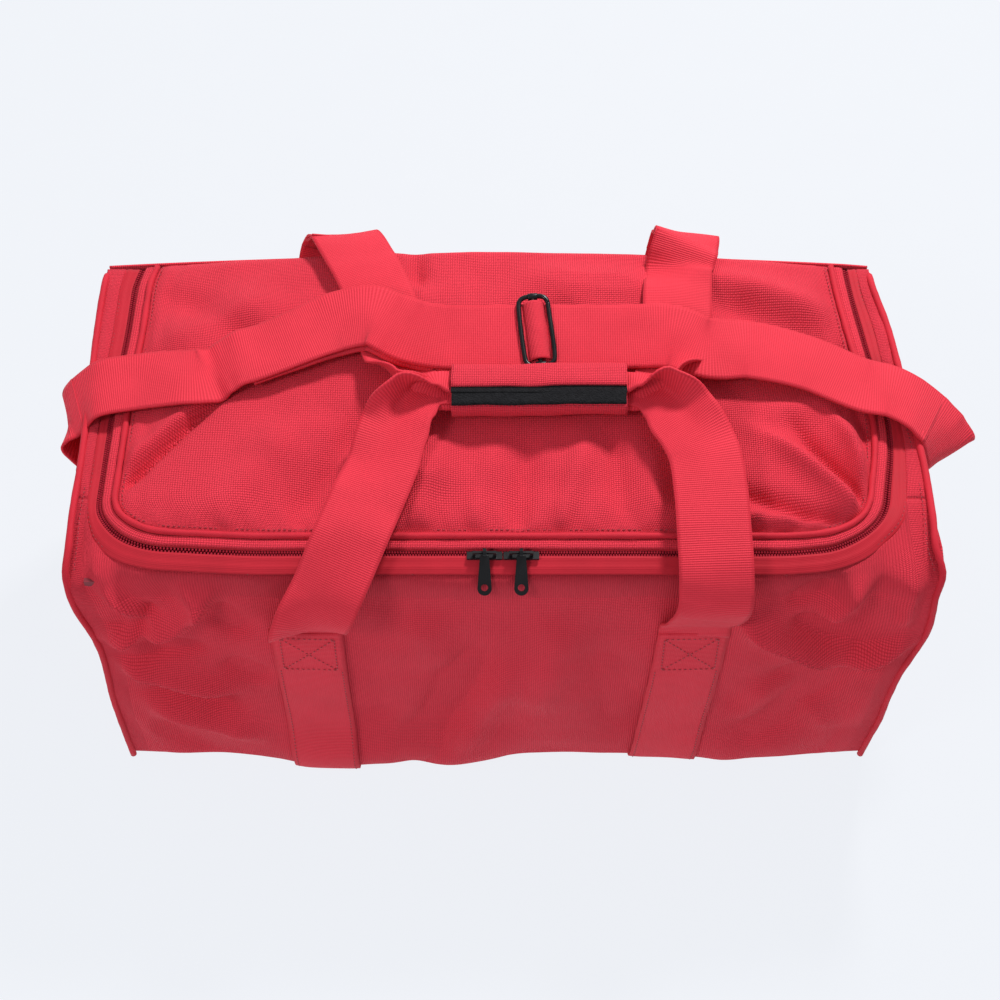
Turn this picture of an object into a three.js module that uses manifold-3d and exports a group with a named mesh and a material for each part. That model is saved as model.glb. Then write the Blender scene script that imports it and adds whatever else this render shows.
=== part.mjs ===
// A soft sports equipment bag: a red cloth body with a U-shaped zip, a domed lid that hinges at the
// back, two webbing handles held by a padded grip, and a shoulder strap on swivel hooks.
// Millimetres. X runs along the bag, Y to the back, Z up. The origin is the middle of the base.
import * as THREE from 'three';
import { mergeVertices } from 'three/addons/utils/BufferGeometryUtils.js';
import Module from 'manifold-3d';

const wasm = await Module();
wasm.setup();

// ---- driving dimensions -------------------------------------------------------------------------
const LENGTH = 580;         // bag, end to end
const DEPTH = 282;          // bag, front to back at the base
const HEIGHT = 254;         // top of the rims above the base
const CLOTH = 3;            // padded cloth panels
const BASE = 5;             // base cloth with its lining
const GAP = 0.3;            // clearance between sewn pieces
const WEB = { width: 50, thick: 2 };                       // two inch webbing
const PIPING = 5;           // diameter of the rim and lid piping
const BULGE = 10;           // how far the front stands out in the middle
const LEAN = 12;            // how far the front leans back at its top
const ZIP = { side: 261, front: -115, corner: 45, z: 252, tape: 12 };  // line of the zip's teeth
const LID_DOME = 15;        // rise of the lid over its edge
const BELT_X = 135;         // the two belts sewn round the bag
const BELT_TOP = 188;       // where the front handle leaves its belts
const SLIDER = { length: 24, meet: 2 };
const PULL = { length: 29, width: 9.7, thick: 1.8 };
const GRIP = { x: 27, y: -1, z: 283.5, length: 122 };
const STRAP_RUN = { y: 46, z: 286.5, across: [0, 0.97, 0.24] };        // straight run under the adjuster
const RING = { x: 297, y: 4, z: 152, width: 56, height: 30, wire: 4, tilt: 9 };
const HOOK = { x: 303, z: 171, width: 21, height: 34, wire: 4.5 };
const GATE = { long: 12.7, drop: 0.25, thick: 3.4, wide: 4, cut: 14 };   // spring gate in the hook's outer side
const EYE = { top: 222, foot: 208, thick: 3.8, width: 58, wire: 3.6, stud: 2.4 };
const ADJUST = { x: 26, shift: 3, length: 24, width: 57, wire: 3.2 };

const END = LENGTH / 2;
const WALL_X = END - 6;     // where the cloth wrapped round the bag stops at each end

// ---- materials ----------------------------------------------------------------------------------
const material = (color, roughness, metalness = 0) =>
  new THREE.MeshStandardMaterial({ color, roughness, metalness });
const cloth = material(0xc8283c, 0.85);
const webbing = material(0xd23246, 0.7);
const cord = material(0xb42034, 0.75);
const tape = material(0x9c1a2c, 0.8);
const lining = material(0x701420, 0.9);
const board = material(0x2a2a2c, 0.9);
const blackMetal = material(0x141416, 0.35, 0.8);
const hookTape = material(0x17171a, 0.95);

// ---- helpers ------------------------------------------------------------------------------------
const clamp = (v, lo, hi) => Math.min(hi, Math.max(lo, v));
const smooth = (v) => { const t = clamp(v, 0, 1); return t * t * (3 - 2 * t); };
const vec = (x, y, z) => new THREE.Vector3(x, y, z);
const bag = new THREE.Group();

function signedVolume(geometry) {
  const p = geometry.getAttribute('position');
  const index = geometry.index;
  const [a, b, c] = [vec(), vec(), vec()];
  let sum = 0;
  for (let i = 0; i < index.count; i += 3) {
    a.fromBufferAttribute(p, index.getX(i));
    b.fromBufferAttribute(p, index.getX(i + 1));
    c.fromBufferAttribute(p, index.getX(i + 2));
    sum += a.dot(b.cross(c));
  }
  return sum / 6;
}

// A closed geometry with merged corners and outward faces.
function closed(geometry) {
  const g = geometry.index ? geometry.toNonIndexed() : geometry.clone();
  g.deleteAttribute('normal');
  g.deleteAttribute('uv');
  const merged = mergeVertices(g, 1e-3);
  if (signedVolume(merged) < 0) {
    const ix = merged.index.array;
    for (let i = 0; i < ix.length; i += 3) [ix[i], ix[i + 1]] = [ix[i + 1], ix[i]];
  }
  merged.computeVertexNormals();
  return merged;
}

function add(name, geometry, mat) {
  const mesh = new THREE.Mesh(closed(geometry), mat);
  mesh.name = name;
  bag.add(mesh);
  return mesh;
}

// A block bent into shape: place(u, v, w) gives the point for u, v and w from 0 to 1.
function bent(place, nu, nv = 1, nw = 1) {
  const g = new THREE.BoxGeometry(1, 1, 1, nu, nv, nw);
  const p = g.getAttribute('position');
  for (let i = 0; i < p.count; i += 1) {
    const q = place(p.getX(i) + 0.5, p.getY(i) + 0.5, p.getZ(i) + 0.5);
    p.setXYZ(i, q.x, q.y, q.z);
  }
  return g;
}

// Flat webbing along hand-placed stations: [x, y, z, across x, y, z, width].
function ribbon(stations, steps, thick = WEB.thick) {
  const centre = new THREE.CatmullRomCurve3(stations.map((s) => vec(s[0], s[1], s[2])), false, 'centripetal');
  const last = stations.length - 1;
  const between = (t, pick) => {
    const k = clamp(Math.floor(t * last), 0, last - 1);
    return pick(stations[k], stations[k + 1], smooth(t * last - k));
  };
  return bent((u, v, w) => {
    const at = centre.getPoint(u);
    const across = between(u, (a, b, f) => vec(a[3], a[4], a[5]).lerp(vec(b[3], b[4], b[5]), f));
    const width = between(u, (a, b, f) => THREE.MathUtils.lerp(a[6] ?? WEB.width, b[6] ?? WEB.width, f));
    const along = centre.getTangent(u);
    across.addScaledVector(along, -across.dot(along)).normalize();
    const up = vec().crossVectors(along, across).normalize();
    return at.addScaledVector(across, (v - 0.5) * width).addScaledVector(up, (w - 0.5) * thick);
  }, steps);
}

function tube(curve, diameter, steps, sides = 8) {
  const ring = new THREE.Shape();
  ring.absarc(0, 0, diameter / 2, 0, Math.PI * 2);
  return new THREE.ExtrudeGeometry(ring, { steps, extrudePath: curve, curveSegments: sides / 2, bevelEnabled: false });
}

const toSolid = (geometry) => {
  const g = closed(geometry);
  const mesh = new wasm.Mesh({
    numProp: 3,
    vertProperties: g.getAttribute('position').array,
    triVerts: new Uint32Array(g.index.array),
  });
  return new wasm.Manifold(mesh);
};

const fromSolid = (solid) => {
  const mesh = solid.getMesh();
  const g = new THREE.BufferGeometry();
  g.setAttribute('position', new THREE.BufferAttribute(mesh.vertProperties, 3));
  g.setIndex(new THREE.BufferAttribute(mesh.triVerts, 1));
  return g;
};

const block = (x0, x1, y0, y1, z0, z1) =>
  new THREE.BoxGeometry(x1 - x0, y1 - y0, z1 - z0).translate((x0 + x1) / 2, (y0 + y1) / 2, (z0 + z1) / 2);

const cut = (geometry, ...tools) =>
  fromSolid(tools.reduce((solid, t) => solid.subtract(toSolid(t)), toSolid(geometry)));

const join = (...parts) =>
  fromSolid(parts.slice(1).reduce((solid, t) => solid.add(toSolid(t)), toSolid(parts[0])));

// ---- the bag's outer skin -----------------------------------------------------------------------
const midness = (x) => 1 - (x / (END + 10)) ** 2;            // 1 in the middle, 0 at the ends
const frontY = (x, z) => {
  const t = z / HEIGHT;
  return -DEPTH / 2 + LEAN * t * t - BULGE * Math.sin(Math.PI * t) * midness(x);
};
const backY = (x, z) => {
  const t = z / HEIGHT;
  return DEPTH / 2 + 12 * t * midness(x) + 5 * Math.sin(Math.PI * t) * midness(x);
};
const endX = (y, z) => END + Math.sin(Math.PI * z / HEIGHT) * (1 - (y / 160) ** 2);
// Height of the lid's top; its edge lies 4 mm over the zip.
const lidZ = (x, y) => {
  const across = 1 - Math.abs(x / 250) ** 3;
  const back = 1 - 0.25 * smooth((y - 60) / 90);
  return ZIP.z + 4 + LID_DOME * Math.max(across, 0) * smooth((y + 100) / 150) * back;
};

// A point on the U of the zip, t from 0 (back left) to 1 (back right), offset outward in plan.
const U_STRAIGHT = 140 - (ZIP.front + ZIP.corner);
const U_ARC = Math.PI / 2;
function onU(t, offset) {
  const r = ZIP.corner;
  const side = [0, 0.3, 0.42, 0.58, 0.7, 1];   // share of the path: side, corner, front, corner, side
  const half = t <= 0.5 ? t : 1 - t;
  const sign = t <= 0.5 ? -1 : 1;
  const cx = ZIP.side - r;
  const cy = ZIP.front + r;
  let x;
  let y;
  if (half <= side[1]) {
    x = cx + r + offset;
    y = cy + U_STRAIGHT * (1 - half / side[1]);
  } else if (half <= side[2]) {
    const a = U_ARC * (half - side[1]) / (side[2] - side[1]);
    x = cx + (r + offset) * Math.cos(a);
    y = cy - (r + offset) * Math.sin(a);
  } else {
    x = cx * (0.5 - half) / (0.5 - side[2]);
    y = cy - r - offset;
  }
  return { x: sign * x, y, front: smooth((cy - y) / r) };
}
// A strip beside the zip, from offset d0 to d1 in plan, with its top at height top(point, share).
function zipStrip(d0, d1, top, thick, steps = 36) {
  return bent((u, v, w) => {
    const p = onU(u, THREE.MathUtils.lerp(d0, d1, v));
    return vec(p.x, p.y, top(p, v) - (1 - w) * thick);
  }, steps);
}

// ---- body panels --------------------------------------------------------------------------------
const FRONT_TOP = 243;
add('front_panel', bent((u, v, w) => {
  const x = THREE.MathUtils.lerp(-WALL_X, WALL_X, u);
  const z = THREE.MathUtils.lerp(BASE + GAP, FRONT_TOP, v);
  return vec(x, frontY(x, z) + (1 - w) * CLOTH, z);
}, 16, 8), cloth);

const BACK_TOP = 253.4;
add('back_panel', bent((u, v, w) => {
  const x = THREE.MathUtils.lerp(-WALL_X, WALL_X, u);
  const z = THREE.MathUtils.lerp(BASE + GAP, BACK_TOP, v);
  return vec(x, backY(x, z) - (1 - w) * CLOTH, z);
}, 16, 8), cloth);

const beltGroove = (x) => block(x - 25.4, x + 25.4, -160, 160, -1, WEB.thick + GAP);
add('base_panel', cut(
  block(-WALL_X, WALL_X, -DEPTH / 2 + 1, DEPTH / 2 - 1, 0, BASE),
  beltGroove(-BELT_X), beltGroove(BELT_X),
), cloth);
add('base_board', block(-END + 14, END - 14, -DEPTH / 2 + 8, DEPTH / 2 - 8, BASE + GAP, BASE + GAP + 2.5), board);

for (const [side, s] of [['left', -1], ['right', 1]]) {
  add(`end_panel_${side}`, bent((u, v, w) => {
    const z = THREE.MathUtils.lerp(3, HEIGHT - 8.2, v);
    const inset = 3.6 + 7 * smooth((z - HEIGHT + 22) / 18);
    const y = THREE.MathUtils.lerp(frontY(END, z) + inset, backY(END, z) - inset, u);
    return vec(s * (endX(y, z) - (1 - w) * CLOTH), y, z);
  }, 6, 6), cloth);

  // Piping sewn round the end panel: up the front, over the top and down the back.
  const rimX = s * (END - 3);
  const rim = [
    ...[0.02, 0.3, 0.65, 0.93].map((t) => vec(rimX, frontY(END, t * HEIGHT), t * HEIGHT)),
    vec(rimX, frontY(END, HEIGHT) + 7, HEIGHT), vec(rimX, 0, HEIGHT), vec(rimX, backY(END, HEIGHT) - 9, HEIGHT),
    ...[0.95, 0.6, 0.3, 0.02].map((t) => vec(rimX, backY(END, t * HEIGHT), t * HEIGHT)),
  ];
  add(`rim_piping_${side}`, tube(new THREE.CatmullRomCurve3(rim, false, 'centripetal'), PIPING, 26, 6), cord);

  // Binding tape over the raw seam inside: up the front, across under the top, down the back.
  const seam = { foot: 9, top: 236, rise: 0.35, width: 8, thick: 1.2 };
  add(`seam_binding_${side}`, bent((u, v, w) => {
    const x = s * (WALL_X - seam.width * v - 1);
    const inset = CLOTH + GAP + seam.thick * (1 - w);
    const up = THREE.MathUtils.lerp(seam.foot, seam.top, Math.min(u, 1 - u) / seam.rise);
    if (u < seam.rise) return vec(x, frontY(x, up) + inset, up);
    if (u > 1 - seam.rise) return vec(x, backY(x, up) - inset, up);
    const [front, back] = [frontY(x, seam.top) + inset, backY(x, seam.top) - inset];
    const y = THREE.MathUtils.lerp(front, back, (u - seam.rise) / (1 - 2 * seam.rise));
    return vec(x, y, seam.top + seam.thick * w);
  }, 20), lining);

  // The strip of the top between the zip and the rim, running into the front corner.
  const reach = { x: WALL_X, y: -frontY(END, FRONT_TOP) - 1.5 };
  const cx = ZIP.side - ZIP.corner;
  const cy = ZIP.front + ZIP.corner;
  add(`top_gusset_${side}`, bent((u, v, w) => {
    const inner = ZIP.corner + ZIP.tape + GAP;
    let from;
    let to;
    if (u <= 0.5) {
      const y = THREE.MathUtils.lerp(138, cy, u * 2);
      from = [cx + inner, y];
      to = [reach.x, y];
    } else {
      const a = THREE.MathUtils.lerp(0, THREE.MathUtils.degToRad(66), (u - 0.5) * 2);
      const far = Math.min((reach.x - cx) / Math.cos(a), (reach.y + cy) / Math.max(Math.sin(a), 1e-6));
      from = [cx + inner * Math.cos(a), cy - inner * Math.sin(a)];
      to = [cx + far * Math.cos(a), cy - far * Math.sin(a)];
    }
    const x = THREE.MathUtils.lerp(from[0], to[0], v);
    const y = THREE.MathUtils.lerp(from[1], to[1], v);
    const z = HEIGHT - 1 - 6.4 * smooth((cy - y) / 50) * (0.4 + 0.6 * v);
    return vec(s * x, y, z - (1 - w) * CLOTH);
  }, 24, 2), cloth);
}

// ---- zip ----------------------------------------------------------------------------------------
const TEETH = { gap: 0.6, width: 1.8, thick: 2 };
const bodySlope = (p, v) => ZIP.z - 0.6 - 6 * p.front * v;
add('zip_tape_body', zipStrip(TEETH.gap + TEETH.width + GAP, ZIP.tape, bodySlope, 1), tape);
add('zip_coil_body', zipStrip(TEETH.gap, TEETH.gap + TEETH.width, () => ZIP.z, TEETH.thick), tape);
add('zip_coil_lid', zipStrip(-TEETH.gap - TEETH.width, -TEETH.gap, () => ZIP.z, TEETH.thick), tape);
add('zip_tape_lid', zipStrip(-ZIP.tape, -TEETH.gap - TEETH.width - GAP, () => ZIP.z - 0.6, 1), tape);
add('lid_welt', zipStrip(-ZIP.tape + 2.7, -3.2, (p, v) => ZIP.z + 3.2 - 1.2 * v, 2.2), cloth);

// ---- lid ----------------------------------------------------------------------------------------
const LID_OFFSET = -15;
const lidLine = [...Array(41).keys()].map((i) => {
  const p = onU(i / 40, LID_OFFSET + 3.4);
  return vec(p.x, p.y, ZIP.z + 4.2);
});
add('lid_piping', tube(new THREE.CatmullRomCurve3(lidLine, false, 'centripetal'), PIPING * 0.8, 44, 6), cord);

const lidCorner = ZIP.corner + LID_OFFSET;
const lidHalf = (y) => {
  const cy = ZIP.front + ZIP.corner;
  const sine = clamp((cy - y) / lidCorner, 0, 1);
  return ZIP.side - ZIP.corner + (lidCorner - 0.3) * Math.sqrt(1 - sine * sine);
};
add('lid_panel', bent((u, v, w) => {
  const cy = ZIP.front + ZIP.corner;
  const corner = 0.25;
  const y = v < corner
    ? cy - (lidCorner - 0.3) * Math.cos(Math.PI / 2 * v / corner)
    : THREE.MathUtils.lerp(cy, 1, (v - corner) / (1 - corner));
  const row = v < corner ? y : THREE.MathUtils.lerp(cy, 140, (v - corner) / (1 - corner));
  const x = lidHalf(row) * (2 * u - 1);
  const backMost = v < corner ? row : THREE.MathUtils.lerp(cy, 143 + 11 * midness(x), (v - corner) / (1 - corner));
  return vec(x, backMost, lidZ(x, backMost) + 1 + (w - 1) * CLOTH);
}, 14, 16), cloth);

for (const [side, s] of [['left', -1], ['right', 1]]) {
  // Cloth tab that closes the end of the zip at the back edge.
  add(`zip_end_tab_${side}`, bent((u, v, w) => {
    const x = s * (ZIP.side + 1) + 18 * (u - 0.5);
    const z = THREE.MathUtils.lerp(236, 250, v);
    return vec(x, backY(x, z) + GAP + 1.5 * w, z);
  }, 2, 2), cloth);
}

// ---- belts sewn round the bag -------------------------------------------------------------------
for (const [side, s] of [['left', -1], ['right', 1]]) {
  const x = s * BELT_X;
  const strip = (face, out, top) => bent((u, v, w) => {
    const at = x + (u - 0.5) * WEB.width;
    const z = THREE.MathUtils.lerp(WEB.thick + GAP + 1, top, v);
    return vec(at, face(at, z) + out * (GAP + w * WEB.thick), z);
  }, 2, 8);
  add(`front_belt_${side}`, strip(frontY, -1, BELT_TOP), webbing);
  add(`back_belt_${side}`, strip(backY, 1, 214), webbing);
  add(`base_belt_${side}`, block(x - 25, x + 25, -DEPTH / 2 - 2, DEPTH / 2 + 2, 0, WEB.thick), webbing);
}

// ---- sliders and pulls --------------------------------------------------------------------------
const BRIDGE = { y: ZIP.front - 3, z: ZIP.z + 5.6 };
for (const [side, s] of [['left', -1], ['right', 1]]) {
  const cx = SLIDER.meet + s * (SLIDER.length / 2 + 0.4);
  const [x0, x1] = [cx - SLIDER.length / 2, cx + SLIDER.length / 2];
  const half = SLIDER.length / 2;
  // Only the half over the body's teeth is solid on top, so that the lid's teeth can lift away.
  add(`slider_${side}`, join(
    block(x0, x1, ZIP.front - 5.5, ZIP.front + 0.25, ZIP.z + 0.5, ZIP.z + 2),
    block(x0 + 4, x1 - 4, ZIP.front - 0.25, ZIP.front + 0.25, ZIP.z - 4.2, ZIP.z + 1),
    block(x0, x1, ZIP.front - 4, ZIP.front + 4, ZIP.z - 5.4, ZIP.z - 3.8),
    block(cx - half + 4, cx - half + 6, BRIDGE.y - 1, BRIDGE.y + 1, ZIP.z + 1, BRIDGE.z + 1),
    block(cx + half - 6, cx + half - 4, BRIDGE.y - 1, BRIDGE.y + 1, ZIP.z + 1, BRIDGE.z + 1),
    block(cx - half + 4, cx + half - 4, BRIDGE.y - 0.8, BRIDGE.y + 0.8, BRIDGE.z - 0.6, BRIDGE.z + 1),
  ), blackMetal);

  const plate = new THREE.Shape();
  plate.moveTo(-PULL.width * 0.32, -2.4);
  plate.lineTo(PULL.width * 0.32, -2.4);
  plate.lineTo(PULL.width / 2, -PULL.length + PULL.width / 2);
  plate.absarc(0, -PULL.length + PULL.width / 2, PULL.width / 2, 0, -Math.PI, true);
  const hole = new THREE.Path();
  hole.absarc(0, -PULL.length + PULL.width / 2 + 0.5, 2.4, 0, Math.PI * 2);
  plate.holes.push(hole);
  const eye = new THREE.Shape();
  eye.absarc(0, 0, 3.2, 0, Math.PI * 2);
  const eyeHole = new THREE.Path();
  eyeHole.absarc(0, 0, 1.9, 0, Math.PI * 2);
  eye.holes.push(eyeHole);
  const flat = new THREE.ExtrudeGeometry(plate, { depth: PULL.thick, bevelEnabled: false, curveSegments: 8 })
    .translate(0, 0, -PULL.thick / 2);
  const ring = new THREE.ExtrudeGeometry(eye, { depth: 2.4, bevelEnabled: false, curveSegments: 8 })
    .translate(0, 0, -1.2).rotateY(Math.PI / 2);
  const pull = join(flat, ring);
  // The plate lies in XY pointing to -Y: turn it to hang down over the front edge.
  pull.rotateX(THREE.MathUtils.degToRad(38));
  pull.translate(cx, BRIDGE.y, BRIDGE.z + 0.2);
  add(`pull_${side}`, pull, blackMetal);
}

// ---- handles and grip ---------------------------------------------------------------------------
const onFront = (x, z) => frontY(x, z) - GAP - 3.7;
const onBack = (x, z) => backY(x, z) + GAP + 3.2;
add('front_handle', ribbon([
  [-135, onFront(-135, BELT_TOP + 7), BELT_TOP + 7, -1, 0, 0],
  [-128, -152, 222, -1, 0, -0.1],
  [-111, -143, 256, -1, 0.1, -0.05],
  [-100, -114, 271, -1, 0.05, 0],
  [-90, -88, 276, -0.97, -0.1, 0.1],
  [-80, -60, 278, -0.85, 0.4, 0],
  [-72, -34, 281, -0.6, 0.8, 0, 46],
  [-62, -12, 286, -0.25, 0.97, 0, 36],
  [-46, GRIP.y, 286.5, 0, 1, 0, 25],
  [-30, GRIP.y, 286.5, 0, 1, 0, 25],
  [84, GRIP.y, 286.5, 0, 1, 0, 25],
  [100, GRIP.y, 286.5, 0, 1, 0, 25],
  [113, -9, 286.5, 0.3, 0.95, 0.05, 36],
  [125, -26, 285.5, 0.7, 0.7, 0.1, 46],
  [138, -50, 284, 0.97, 0.25, 0.05],
  [142, -82, 280, 1, 0, 0],
  [143, -110, 273, 1, 0, 0],
  [143, -135, 262, 1, 0, 0],
  [142, -151, 238, 1, 0, 0],
  [138, -150, 216, 1, 0, 0],
  [135, onFront(135, BELT_TOP + 7), BELT_TOP + 7, 1, 0, 0],
], 60), webbing);

add('back_handle', ribbon([
  [-133, onBack(-133, 221), 221, -1, 0, 0],
  [-128, 165, 246, -1, 0, 0],
  [-118, 160, 271, -1, -0.1, 0],
  [-103, 128, 277, -1, 0, 0],
  [-90, 98, 276, -1, 0, 0],
  [-80, 66, 273.5, -0.95, -0.3, 0],
  [-73, 38, 273, -0.75, -0.65, 0, 44],
  [-62, 13, 273.3, -0.3, -0.95, 0, 30],
  [-46, GRIP.y, 280.5, 0, -1, 0, 25],
  [-30, GRIP.y, 280.5, 0, -1, 0, 25],
  [84, GRIP.y, 280.5, 0, -1, 0, 25],
  [100, GRIP.y, 280.5, 0, -1, 0, 25],
  [112, 12, 275, 0.35, -0.95, 0, 30],
  [119, 36, 273, 0.8, -0.6, 0, 44],
  [127, 64, 273.5, 0.97, -0.2, 0],
  [130, 98, 276, 1, 0, 0],
  [135, 128, 277, 1, 0, 0],
  [138, 160, 271, 1, -0.1, 0],
  [136, 165, 246, 1, 0, 0],
  [133, onBack(133, 221), 221, 1, 0, 0],
], 60), webbing);

// The padded grip: a wrap open on top and a flap that closes it, held by hook-and-loop tape.
function gripPiece(outline) {
  const shape = new THREE.Shape(outline.map(([y, z]) => new THREE.Vector2(y, z)));
  return new THREE.ExtrudeGeometry(shape, { depth: GRIP.length, bevelEnabled: false })
    .rotateX(Math.PI / 2).rotateZ(Math.PI / 2).translate(GRIP.x - GRIP.length / 2, GRIP.y, GRIP.z);
}
add('grip_wrap', gripPiece([
  [-17, -6.8], [16.5, -6.8], [16.5, 5.2], [13.7, 5.2], [13.7, -4.3], [-13.7, -4.3], [-13.7, 4.7], [-5, 4.7],
  [-5, 6.2], [-15.5, 6.2], [-17, 4.5],
]), cloth);
add('grip_loop_tape', gripPiece([[-16.5, 6.5], [-5, 6.5], [-5, 7.6], [-16.5, 7.6]]), hookTape);
add('grip_flap', gripPiece([
  [-7.5, 9.6], [-7.5, 11.6], [14.5, 11.6], [16.5, 9.6], [16.5, 5.5], [14, 5.5], [14, 9.6],
]), cloth);
add('grip_hook_tape', gripPiece([[-7.3, 8], [3, 8], [3, 9.3], [-7.3, 9.3]]), hookTape);

// ---- shoulder strap -----------------------------------------------------------------------------
const run = (x) => [x, STRAP_RUN.y, STRAP_RUN.z, ...STRAP_RUN.across];
const strapRoute = [
  [-303, 12, 250.5, -0.32, 0.94, -0.05],
  [-288, 17, 262.5, -0.14, 0.99, 0],
  [-257, 23, 264.5, -0.1, 0.99, 0],
  [-224, 23, 268, -0.05, 0.99, -0.03],
  [-200, 32, 272, -0.15, 0.98, -0.02],
  [-172, 40, 277, -0.12, 0.99, 0],
  [-144, 50, 282, -0.12, 0.99, 0.03],
  [-116, 60, 287, -0.18, 0.97, 0.12],
  [-92, 62, 290, -0.2, 0.97, 0.14],
  [-64, 52, 288, -0.14, 0.97, 0.2],
  run(-40), run(0), run(44), run(88), run(122),
  [146, 38, 284, 0.2, 0.97, 0.12],
  [176, 40, 280, 0.2, 0.97, 0.03],
  [218, 32, 274.5, 0.22, 0.97, -0.03],
  [258, 16, 268, 0.2, 0.97, -0.05],
  [288, 9, 262.5, 0.2, 0.95, -0.1],
  [309, -3, 247, 0.5, 0.8, -0.25],
];
add('strap_main', ribbon(strapRoute, 64), webbing);
// The doubled end of the webbing, lying under the strap as far as the adjuster.
add('strap_return', ribbon([
  [-204, 27, 268, -0.15, 0.98, -0.02],
  [-172, 38, 273.4, -0.12, 0.99, 0],
  [-144, 48, 278.4, -0.12, 0.99, 0.03],
  [-116, 58, 283.3, -0.18, 0.97, 0.12],
  [-92, 60, 286.3, -0.2, 0.97, 0.14],
  [-64, 50, 284.4, -0.14, 0.97, 0.2],
  [-40, 45.2, 283.2, 0, 0.97, 0.24],
  [8, 45.2, 283.2, 0, 0.97, 0.24],
], 28), webbing);

for (const [side, s] of [['left', -1], ['right', 1]]) {
  const foldZ = EYE.top + 4.8;
  add(`strap_end_${side}`, ribbon(side === 'left' ? [
    [-304.8, 11.3, 248, -0.32, 0.94, -0.05], [-309.5, 9.5, 243, -0.3, 0.95, -0.03], [-311, 6, 235, -0.12, 0.99, 0],
    [-304, RING.y, foldZ, 0, 1, 0],
  ] : [
    [311.9, -4.8, 243.9, 0.5, 0.8, -0.25], [316.5, -6.5, 238.5, 0.5, 0.8, -0.25], [316, -2, 232, 0.25, 0.95, -0.1],
    [304, RING.y, foldZ, 0, 1, 0],
  ], 8), webbing);

  // Rectangular eye that the strap is folded round, with the stud that the hook turns on.
  const x = s * HOOK.x;
  const across = EYE.width / 2;
  add(`swivel_eye_${side}`, join(
    cut(block(x - EYE.thick / 2, x + EYE.thick / 2, RING.y - across, RING.y + across, EYE.foot, EYE.top),
      block(x - EYE.thick, x + EYE.thick, RING.y - across + EYE.wire, RING.y + across - EYE.wire,
        EYE.foot + 4, EYE.top - EYE.wire)),
    block(x - 3, x + 3, RING.y - 3, RING.y + 3, EYE.foot - EYE.stud, EYE.foot + 1),
  ), blackMetal);

  // Snap hook: a loop with its outer side open for the spring gate.
  const rounded = (half, z0, z1) => {
    const outline = new THREE.Shape();
    const r = half * 0.9;
    outline.moveTo(-half, z0 + r);
    outline.absarc(-half + r, z0 + r, r, Math.PI, Math.PI * 1.5);
    outline.absarc(half - r, z0 + r, r, Math.PI * 1.5, Math.PI * 2);
    outline.absarc(half - r, z1 - r, r, 0, Math.PI / 2);
    outline.absarc(-half + r, z1 - r, r, Math.PI / 2, Math.PI);
    return outline;
  };
  const half = HOOK.width / 2;
  const loop = rounded(half, 0, HOOK.height);
  loop.holes.push(new THREE.Path(rounded(half - HOOK.wire, HOOK.wire, HOOK.height - HOOK.wire).getPoints(5)));
  const loopSolid = new THREE.ExtrudeGeometry(loop, { depth: HOOK.wire, bevelEnabled: false, curveSegments: 5 })
    .translate(0, 0, -HOOK.wire / 2).rotateX(Math.PI / 2).scale(s, 1, 1).translate(x, RING.y, HOOK.z);
  const gateX = s * (HOOK.x + half - HOOK.wire / 2);
  const gateZ = HOOK.z + HOOK.height / 2;
  add(`hook_${side}`, cut(loopSolid,
    block(gateX - GATE.thick, gateX + GATE.thick, RING.y - GATE.wide, RING.y + GATE.wide,
      gateZ - GATE.cut / 2, gateZ + GATE.cut / 2)), blackMetal);
  add(`gate_${side}`, block(gateX - GATE.thick / 2, gateX + GATE.thick / 2, RING.y - GATE.wide / 2, RING.y + GATE.wide / 2,
    gateZ - GATE.drop - GATE.long / 2, gateZ - GATE.drop + GATE.long / 2), blackMetal);

  // D-ring, leaning out from its sewn tab.
  const d = new THREE.Shape();
  const [dw, dh] = [RING.width / 2, RING.height];
  d.moveTo(-dw, -RING.wire / 2);
  d.lineTo(dw, -RING.wire / 2);
  d.lineTo(dw, 8);
  d.bezierCurveTo(dw, dh, dw * 0.5, dh, 0, dh);
  d.bezierCurveTo(-dw * 0.5, dh, -dw, dh, -dw, 8);
  const dHole = new THREE.Path();
  const [iw, ih] = [dw - RING.wire, dh - RING.wire];
  dHole.moveTo(-iw, RING.wire / 2);
  dHole.lineTo(iw, RING.wire / 2);
  dHole.lineTo(iw, 8);
  dHole.bezierCurveTo(iw, ih, iw * 0.5, ih, 0, ih);
  dHole.bezierCurveTo(-iw * 0.5, ih, -iw, ih, -iw, 8);
  d.holes.push(dHole);
  const dRing = new THREE.ExtrudeGeometry(d, { depth: RING.wire, bevelEnabled: false, curveSegments: 8 })
    .translate(0, 0, -RING.wire / 2).rotateX(Math.PI / 2).rotateZ(Math.PI / 2);
  dRing.rotateY(s * THREE.MathUtils.degToRad(RING.tilt)).translate(s * RING.x, RING.y, RING.z);
  add(`d_ring_${side}`, dRing, blackMetal);

  // Webbing tab sewn to the end panel, folded round the ring's straight side.
  const tabX = s * (endX(RING.y, RING.z) + GAP + 5.2);
  add(`d_ring_tab_${side}`, cut(
    block(tabX - 5.2, tabX + 5.2, RING.y - 23, RING.y + 23, RING.z - 32, RING.z + 5.2),
    block(s * RING.x - 3.2, s * RING.x + 3.2, RING.y - 30, RING.y + 30, RING.z - 3.2, RING.z + 3.2),
  ), webbing);
}

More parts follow.
